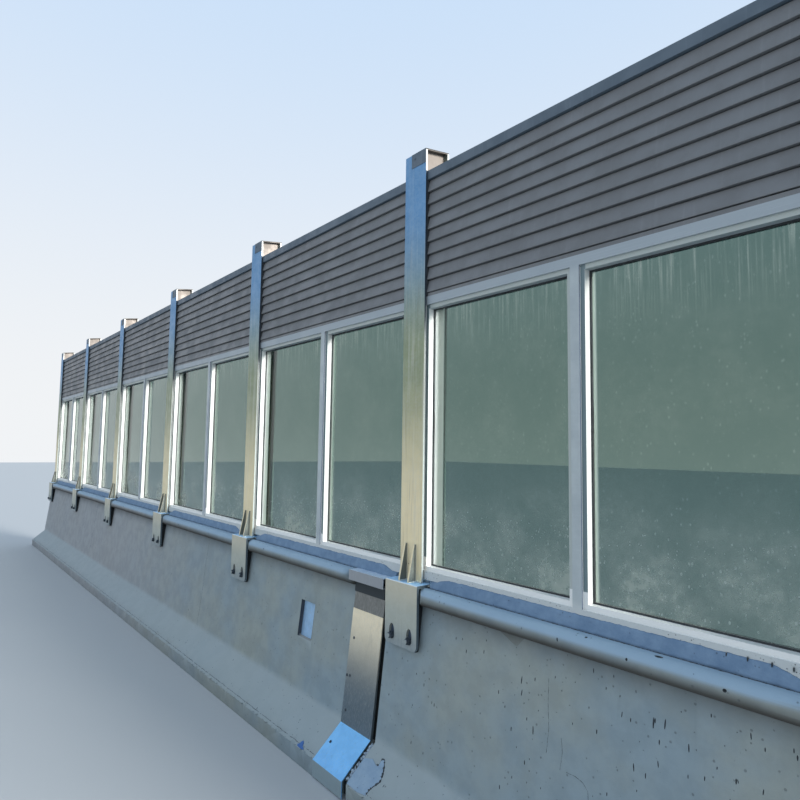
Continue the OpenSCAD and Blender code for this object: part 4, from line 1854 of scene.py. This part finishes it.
@dataclass
class Saddles:
    """The plates under the posts, with slots for the anchors and dark packers behind, whose near-black
    tone paints the shade of the gap.
    """

    wardrobe: Wardrobe
    sizes: Sizes = SIZES
    slot: Point = (0.0215, 0.050, 0.039)
    slot_up: float = 0.021
    soft: float = 0.0010
    soft_angle: float = math.radians(40.0)
    packing_z: Pair = (0.778, 1.002)
    packing_out: float = 0.107
    packing_in: float = 0.003

    def slot_tool(self) -> Tool:
        """Builds the tree for long rounded cutters, one on every point.

        Returns:
            The tree.
        """
        tool = Tool("slot cutters", size=self.slot)
        bar = tool.moved(tool.drum(24, 1.0, 1.0), None, (math.pi / 2, 0.0, 0.0))
        tool.close(tool.spread(tool.carrier, bar, size=tool.inputs["size"]))
        return tool

    def plates(self) -> None:
        """Makes the slotted copy of all seven saddles, with softened edges."""
        s = self.sizes
        nodes = [f"saddle_{post}" for post in POSTS]
        plates = merged_copy("slotted_saddles", *nodes)
        plates.data.materials.append(self.wardrobe.plate)
        bevel = plates.modifiers.new("soft edges", "BEVEL")
        bevel.width = self.soft
        bevel.segments = 2
        bevel.limit_method = "ANGLE"
        bevel.angle_limit = self.soft_angle
        baked(plates)
        half = s.saddle_thick / 2
        places = [
            (s.post_x(post) + side * s.anchor_side, depth, s.anchor_z + self.slot_up)
            for post in POSTS
            for side in ENDS
            for depth in (s.saddle_y[0] + half, s.saddle_y[1] - half)
        ]
        cutters = self.slot_tool().run("slots", poly_mesh("slots", places), self.wardrobe.plate)
        cut_away(plates, cutters)
        smoothed(plates)
        finish_piece(plates, "galvanised_plate", *nodes)

    def packing_and_shade(self) -> None:
        """Fills the gap between every leg and the concrete with packers whose near-black tone paints the
        shade of the gap.
        """
        s = self.sizes
        (low, high), inner = self.packing_z, self.packing_in
        front, back = s.saddle_y[0] + s.saddle_thick, s.saddle_y[1] - s.saddle_thick
        sections = [
            [(front, low), (s.face_y(low) + inner, low), (s.face_y(high) + inner, high), (front, high)],
            [(s.wall_back - inner, low), (back, low), (back, high), (s.wall_back - inner, high)],
        ]
        across = (2 * self.packing_out, 0.0, 0.0)
        bars = [
            ([(s.post_x(post) - self.packing_out, y, z) for y, z in section], across)
            for post in POSTS
            for section in sections
        ]
        # near-black packers that paint the shade in the gap behind each leg
        finish_piece(prisms("saddle_packing_and_shade", bars, self.wardrobe.packing_and_shade), "galvanised_plate")

    def build(self) -> None:
        """Builds the plates and the packers."""
        self.plates()
        self.packing_and_shade()


@dataclass
class Fasteners:
    """Every nut, screw and washer, set out by one tree each."""

    wardrobe: Wardrobe
    sizes: Sizes = SIZES
    nut_radius: float = 0.0173
    nut_height: float = 0.016
    washer_radius: float = 0.0205
    washer_thick: float = 0.003
    flat_share: float = 0.86
    crown_share: float = 0.87
    stud_radius: float = 0.0103
    nut_spin: float = 1.05
    thread: float = 0.0012
    thread_z: float = 0.0195
    thread_step: float = 0.0018
    screw_radius: float = 0.0055
    screw_brim: float = 1.45
    screw_washer: float = 0.002
    screw_dome: Point = (1.0, 1.0, 0.55)
    screw_out: float = 0.006
    screws: tuple[Pair, ...] = ((3.553, 0.716), (3.525, 0.504), (3.553, 0.508), (3.548, 0.321))
    face_out: Point = (0.0, -1.0, 0.117)
    toe_screw_x: float = 3.548
    toe_screw_share: float = 0.50
    toe_screw_out: Point = (0.0, -0.0040, 0.0047)
    toe_out: Point = (0.0, -0.647, 0.763)

    def nut_tool(self) -> Tool:
        """Builds the tree for a washer, a hexagon nut and thread rings on a stud.

        Returns:
            The tree.
        """
        tool = Tool(
            "anchor nuts",
            nut_radius=self.nut_radius,
            nut_height=self.nut_height,
            washer_radius=self.washer_radius,
            washer_thickness=self.washer_thick,
            stud_radius=self.stud_radius,
        )
        radius, height = tool.inputs["nut_radius"], tool.inputs["nut_height"]
        thick = tool.inputs["washer_thickness"]
        washer = tool.drum(28, tool.inputs["washer_radius"], thick)
        washer = self.lifted(tool, washer, thick * 0.5)
        flat = height * self.flat_share
        body = self.lifted(tool, tool.drum(6, radius, flat), flat.sum("MULTIPLY_ADD", 0.5, thick))
        cone = (radius * self.crown_share, radius, height * (1.0 - self.flat_share))
        crown = tool.add("GeometryNodeMeshCone", 6, 1, 1, *cone)
        crown = self.lifted(tool, crown, thick + flat)
        start, step = (0.0, 0.0, self.thread_z), (0.0, 0.0, self.thread_step)
        line = tool.add("GeometryNodeMeshLine", 3, start, step)
        rings = tool.spread(line, tool.drum(16, tool.inputs["stud_radius"], self.thread))
        self.set_out(tool, tool.join(washer, body, crown, rings), spin=True)
        return tool

    def screw_tool(self) -> Tool:
        """Builds the tree for a round-headed screw on its washer.

        Returns:
            The tree.
        """
        tool = Tool("cover screws", radius=self.screw_radius)
        radius = tool.inputs["radius"]
        washer = tool.drum(20, radius * self.screw_brim, self.screw_washer)
        dome = tool.add("GeometryNodeMeshUVSphere", 16, 8, radius)
        dome = tool.moved(dome, (0.0, 0.0, self.screw_washer / 2), size=self.screw_dome)
        self.set_out(tool, tool.join(washer, dome), spin=False)
        return tool

    def lifted(self, tool: Tool, shape: Flow, height: Flow) -> Flow:
        """Returns a shape moved up its own axis by a height."""
        return tool.moved(shape, tool.xyz(0.0, 0.0, height))

    def set_out(self, tool: Tool, shape: Flow, spin: bool) -> None:
        """Puts a shape on every carrier point, facing out, and closes the tree.

        Args:
            tool: the tree.
            shape: the shape, standing on its Z axis.
            spin: whether each one is turned by chance about its own axis.
        """
        turn = tool.facing_out()
        if spin:
            angle = tool.random(0.0, self.nut_spin, seed=4)
            about = tool.add("FunctionNodeAxisAngleToRotation", (0.0, 0.0, 1.0), angle)
            turn = tool.add("FunctionNodeRotateRotation", turn, about, rotation_space="LOCAL")
        tool.close(tool.spread(tool.carrier, shape, turn), smooth=False)

    def build(self) -> None:
        """Sets out the anchor nuts and the screws of the joint covers."""
        s = self.sizes
        anchors = [
            ((s.post_x(post) + side * s.anchor_side, depth, s.anchor_z), (0.0, way.value, 0.0))
            for post in POSTS
            for side in ENDS
            for way, depth in zip(Side, s.saddle_y)
        ]
        nuts = self.nut_tool().run("anchor_nuts", pointed(anchors), self.wardrobe.bolt)
        finish_piece(nuts, "galvanised_plate")
        lean, down = (tuple(Vector(way).normalized()) for way in (self.face_out, self.toe_out))
        heads = [((x, s.face_y(z) - self.screw_out, z), lean) for x, z in self.screws]
        toe = Vector((self.toe_screw_x, *s.toe_at(self.toe_screw_share))) + Vector(self.toe_screw_out)
        heads.append((tuple(toe), down))
        screws = self.screw_tool().run("cover_screws", pointed(heads), self.wardrobe.bolt)
        smoothed(screws, flat=False)
        finish_piece(screws, "cover_plate")


@dataclass
class GlazingBeads:
    """The rubber gaskets and rear beads round every pane, and the panel packers."""

    wardrobe: Wardrobe
    sizes: Sizes = SIZES
    face: float = 0.008
    depth: float = 0.004
    strip_wide: float = 0.030
    packer_out: float = 0.062
    seal_out: float = 0.075
    seal_deep: float = 0.021
    packer_ends: Pair = (0.002, 0.0)
    seal_ends: Pair = (0.004, 0.004)
    wave: Point = (0.006, 0.0, 0.0)

    def gasket_tool(self) -> Tool:
        """Builds the tree for a mitred rubber frame round a pane.

        Returns:
            The tree.
        """
        tool = Tool("pane gaskets", width=0.88, height=1.383, face=self.face, depth=self.depth)
        size = (tool.inputs["width"], tool.inputs["height"])
        twice = tool.inputs["face"] * -2.0
        outer = tool.add("GeometryNodeCurvePrimitiveQuadrilateral", *size)
        inner = tool.add("GeometryNodeCurvePrimitiveQuadrilateral", *(side + twice for side in size))
        flat = tool.add("GeometryNodeFillCurve", tool.join(outer, inner), mode="NGONS")
        out = tool.xyz(0.0, 0.0, 1.0)
        solid = tool.add("GeometryNodeExtrudeMesh", flat, None, out, tool.inputs["depth"], False)
        whole = tool.join(solid, tool.add("GeometryNodeFlipFaces", flat))
        whole = tool.add("GeometryNodeMergeByDistance", whole, None, 0.00001)
        turn = tool.facing_out(pivot_axis="X")
        tool.close(tool.spread(tool.carrier, whole, turn), smooth=False)
        return tool

    def gaskets(self) -> None:
        """Sets a gasket on both faces of every pane."""
        s, w = self.sizes, self.wardrobe
        tool = self.gasket_tool()
        low, high = s.glass_z[0] + s.glass_bite, s.glass_z[1] - s.glass_bite
        sides = list(zip(Side, s.glass_y, ((w.rubber, "glass"), (w.frame, "frame_aluminium"))))
        for pane in Pane:
            left, right = pane.value
            middle_x, level = (left + right) / 2, (low + high) / 2
            for way, depth, (finish, slot) in sides:
                places = [((s.bay_x(bay) + middle_x, depth, level), (0.0, way.value, 0.0)) for bay in BAYS]
                name = f"gaskets_{pane.name.lower()}_{way.name.lower()}"
                size = {"width": right - left, "height": high - low}
                finish_piece(tool.run(name, pointed(places), finish, **size), slot)

    def strip_tool(self) -> Tool:
        """Builds the tree for the rubber strips between a post and its panels.

        Returns:
            The tree.
        """
        tool = Tool("panel packers", size=(self.strip_wide, 0.009, 2.2))
        bar = tool.add("GeometryNodeMeshCube", tool.inputs["size"], 2, 2, 24)
        bars = tool.add("GeometryNodeRealizeInstances", tool.spread(tool.carrier, bar))
        wave = tool.cloud(tool.place(), scale=22.0, detail=3.0, rough=0.6) * self.wave
        tool.close(tool.shift(bars, wave), smooth=False)
        return tool

    def strips(self, tool: Tool, name: str, out: float, deep: float, ends: Pair) -> None:
        """Sets strips against the front flange, on both sides of every post with a panel.

        Args:
            tool: the tree.
            name: the piece's name.
            out: how far they stand from the middle of the post.
            deep: how deep they are.
            ends: where they start and end in height.
        """
        s = self.sizes
        front = s.post_y - s.post_half + s.flange
        open_ends = ((POSTS[0], -1), (POSTS[-1], 1))
        places = [
            (s.post_x(post) + side * out, front + deep / 2, sum(ends) / 2)
            for post in POSTS
            for side in ENDS
            if (post, side) not in open_ends
        ]
        size = (self.strip_wide, deep, ends[1] - ends[0])
        piece = tool.run(name, poly_mesh("strips", places), self.wardrobe.rubber, size=size)
        finish_piece(piece, "galvanised_post")

    def build(self) -> None:
        """Builds the gaskets, the packers beside the frames and the seals beside the louvres."""
        s = self.sizes
        self.gaskets()
        tool = self.strip_tool()
        deep = s.frame_front - (s.post_y - s.post_half + s.flange)
        ends = (s.frame_z[0] + self.packer_ends[0], s.frame_z[1] - self.packer_ends[1])
        self.strips(tool, "panel_packers", self.packer_out, deep, ends)
        ends = (s.frame_z[1] + self.seal_ends[0], s.louvre_top - self.seal_ends[1])
        self.strips(tool, "louvre_seals", self.seal_out, self.seal_deep, ends)


@dataclass
class PostFittings:
    """Weld beads at the foot of every post and the small tab at its head."""

    wardrobe: Wardrobe
    sizes: Sizes = SIZES
    bead: float = 0.0035
    bead_up: float = 0.001
    lumps: Pair = (0.75, 1.25)
    reach_short: float = 0.002
    rise_short: float = 0.006
    tab_left: float = -0.032
    tab_low: float = 3.408
    tab_thick: float = 0.003
    screw: Point = (-0.0348, -0.0025, 0.009)
    screw_radius: float = 0.006
    screw_high: float = 0.004

    def weld_tool(self) -> Tool:
        """Builds the tree for a rippled weld bead along lines.

        Returns:
            The tree.
        """
        tool = Tool("weld beads", radius=self.bead, step=0.004)
        ring = tool.add("GeometryNodeCurvePrimitiveCircle", 7, tool.inputs["radius"])
        lumps = tool.random(*self.lumps, seed=6)
        tool.close(tool.add("GeometryNodeCurveToMesh", tool.path(), ring, lumps, True))
        return tool

    def weld_lines(self, post: int, way: int) -> list[list[Point]]:
        """Works out the lines of the beads on one side of a post.

        Args:
            post: its number.
            way: -1 for the road side and 1 for the back.

        Returns:
            The line along the flange, then those round its gussets.
        """
        s = self.sizes
        x, y = s.post_x(post), s.post_y + way * s.post_half
        low = s.saddle_top + self.bead_up
        high = low + s.gusset_rise - self.rise_short
        reach = y + way * (s.gusset_reach - self.reach_short)
        lines = [[(x - s.post_half, y, low), (x + s.post_half, y, low)]]
        for side in ENDS:
            for face in ENDS:
                across = x + side * s.gusset_side + face * s.gusset_half
                lines.append([(across, reach, low), (across, y, low), (across, y, high)])
        return lines

    def tab_tool(self) -> Tool:
        """Builds the tree for the tab with its screw.

        Returns:
            The tree.
        """
        s = self.sizes
        size = (s.post_half - self.tab_left, self.tab_thick, s.flange_top - self.tab_low)
        tool = Tool("head tabs", size=size)
        plate = tool.add("GeometryNodeMeshCube", tool.inputs["size"], 2, 2, 2)
        head = tool.drum(12, self.screw_radius, self.screw_high)
        head = tool.moved(head, self.screw, (math.pi / 2, 0.0, 0.0))
        tool.close(tool.spread(tool.carrier, tool.join(plate, head)), smooth=False)
        return tool

    def build(self) -> None:
        """Runs beads round the foot of every post, and sets a tab at its head."""
        s = self.sizes
        lines = [line for post in POSTS for way in ENDS for line in self.weld_lines(post, way)]
        welds = self.weld_tool().run("foot_welds", lined(lines), self.wardrobe.plate)
        finish_piece(welds, "galvanised_plate")
        middle_x = (self.tab_left + s.post_half) / 2
        front = s.post_y - s.post_half - self.tab_thick / 2
        level = (self.tab_low + s.flange_top) / 2
        places = [(s.post_x(post) + middle_x, front, level) for post in POSTS]
        tabs = self.tab_tool().run("head_tabs", poly_mesh("tabs", places), self.wardrobe.coping)
        finish_piece(tabs, "coping_paint")


@dataclass
class Dresser:
    """Gives the CAD nodes that stay their materials."""

    wardrobe: Wardrobe

    def build(self) -> None:
        """Dresses every node that is shown; the glass lets the light through."""
        w = self.wardrobe
        finishes = {
            "pocket_plate": w.niche, "joint_cap": w.cap, "joint_face": w.cover, "joint_toe": w.toe
        }
        finishes |= {f"post_{post}": w.post for post in POSTS}
        rows = {"frame": w.frame, "glass": w.glass, "louvre": w.louvre, "coping": w.coping}
        finishes |= {f"{kind}_{bay}": finish for kind, finish in rows.items() for bay in BAYS}
        for node, finish in finishes.items():
            piece = frame["nodes"][node]
            piece.data.materials.clear()
            piece.data.materials.append(finish)
            piece.visible_shadow = finish is not w.glass


@dataclass
class Studio:
    """The camera at the photograph's place, a soft key, an even sky and a pale floor."""

    eye: Point = (6.495, -2.124, 1.819)
    yaw: float = math.radians(50.714)
    pitch: float = math.radians(4.62)
    roll: float = math.radians(0.83)
    lens: float = 27.0
    sensor: float = 36.0
    clip_end: float = 200.0
    horizon: Rgb = (0.88, 0.90, 0.92)
    zenith: Rgb = (0.56, 0.73, 0.95)
    haze: Pair = (0.02, 0.8)
    floor_tone: Rgb = srgb(184, 186, 186)
    floor_rough: float = 0.9
    floor_far: float = 60.0
    floor_drop: float = -0.0005
    sun_power: float = 3.6
    sun_soft: float = math.radians(18.0)
    sun_tone: Rgb = (1.0, 0.97, 0.92)
    sun_from: Point = (0.90, 0.27, 0.32)

    def camera(self) -> None:
        """Sets up the camera."""
        flat = Vector((-math.sin(self.yaw), math.cos(self.yaw), 0.0)) * math.cos(self.pitch)
        ahead = flat + Vector((0.0, 0.0, math.sin(self.pitch)))
        right = Vector((math.cos(self.yaw), math.sin(self.yaw), 0.0))
        above = right.cross(ahead)
        turned_right = math.cos(self.roll) * right + math.sin(self.roll) * above
        turned_above = math.cos(self.roll) * above - math.sin(self.roll) * right
        data = bpy.data.cameras.new("view")
        data.lens = self.lens
        data.sensor_width = self.sensor
        data.clip_end = self.clip_end
        camera = linked("view", data)
        turn = Matrix((turned_right, turned_above, -ahead)).transposed().to_4x4()
        camera.matrix_world = Matrix.Translation(self.eye) @ turn
        bpy.context.scene.camera = camera

    def sky(self) -> None:
        """Sets up the even sky, pale at the horizon and blue above."""
        world = bpy.data.worlds.new("sky")
        world.use_nodes = True
        bpy.context.scene.world = world
        graph = Graph(world.node_tree)
        height = graph.add("ShaderNodeTexCoord").out("Generated").axis("Z")
        colour = graph.mix(height.ramp(*self.haze), self.horizon, self.zenith)
        graph.feed(world.node_tree.nodes["Background"].inputs["Color"], colour)

    def key(self) -> None:
        """Sets up the soft key lamp from the right."""
        data = bpy.data.lights.new("key", "SUN")
        data.energy = self.sun_power
        data.angle = self.sun_soft
        data.color = self.sun_tone
        lamp = linked("key", data)
        lamp.rotation_euler = Vector(self.sun_from).to_track_quat("Z", "Y").to_euler()

    def floor(self) -> None:
        """Lays the pale floor."""
        far = self.floor_far
        corners = [(x * far, y * far, self.floor_drop) for x, y in ((-1, -1), (1, -1), (1, 1), (-1, 1))]
        mesh = poly_mesh("floor", corners, [(0, 1, 2, 3)])
        mesh.materials.append(Surface("pale floor", self.floor_tone, 0.0, self.floor_rough).material)
        linked("floor", mesh)

    def build(self) -> None:
        """Sets up everything round the barrier."""
        bpy.context.scene.view_settings.view_transform = "Standard"
        self.camera()
        self.sky()
        self.key()
        self.floor()


MAKERS = (
    Dresser, Parapet, MortarBeds, JointFilling, Hairlines, Saddles, Fasteners, GlazingBeads, PostFittings,
)


def main() -> None:
    """Builds the studio and every sub-assembly in order."""
    logging.basicConfig(level=logging.INFO, format="%(name)s: %(message)s")
    Studio().build()
    wardrobe = Wardrobe()
    for maker in MAKERS:
        LOG.info("building %s", maker.__name__)
        maker(wardrobe).build()


if __name__ == "__main__":
    main()
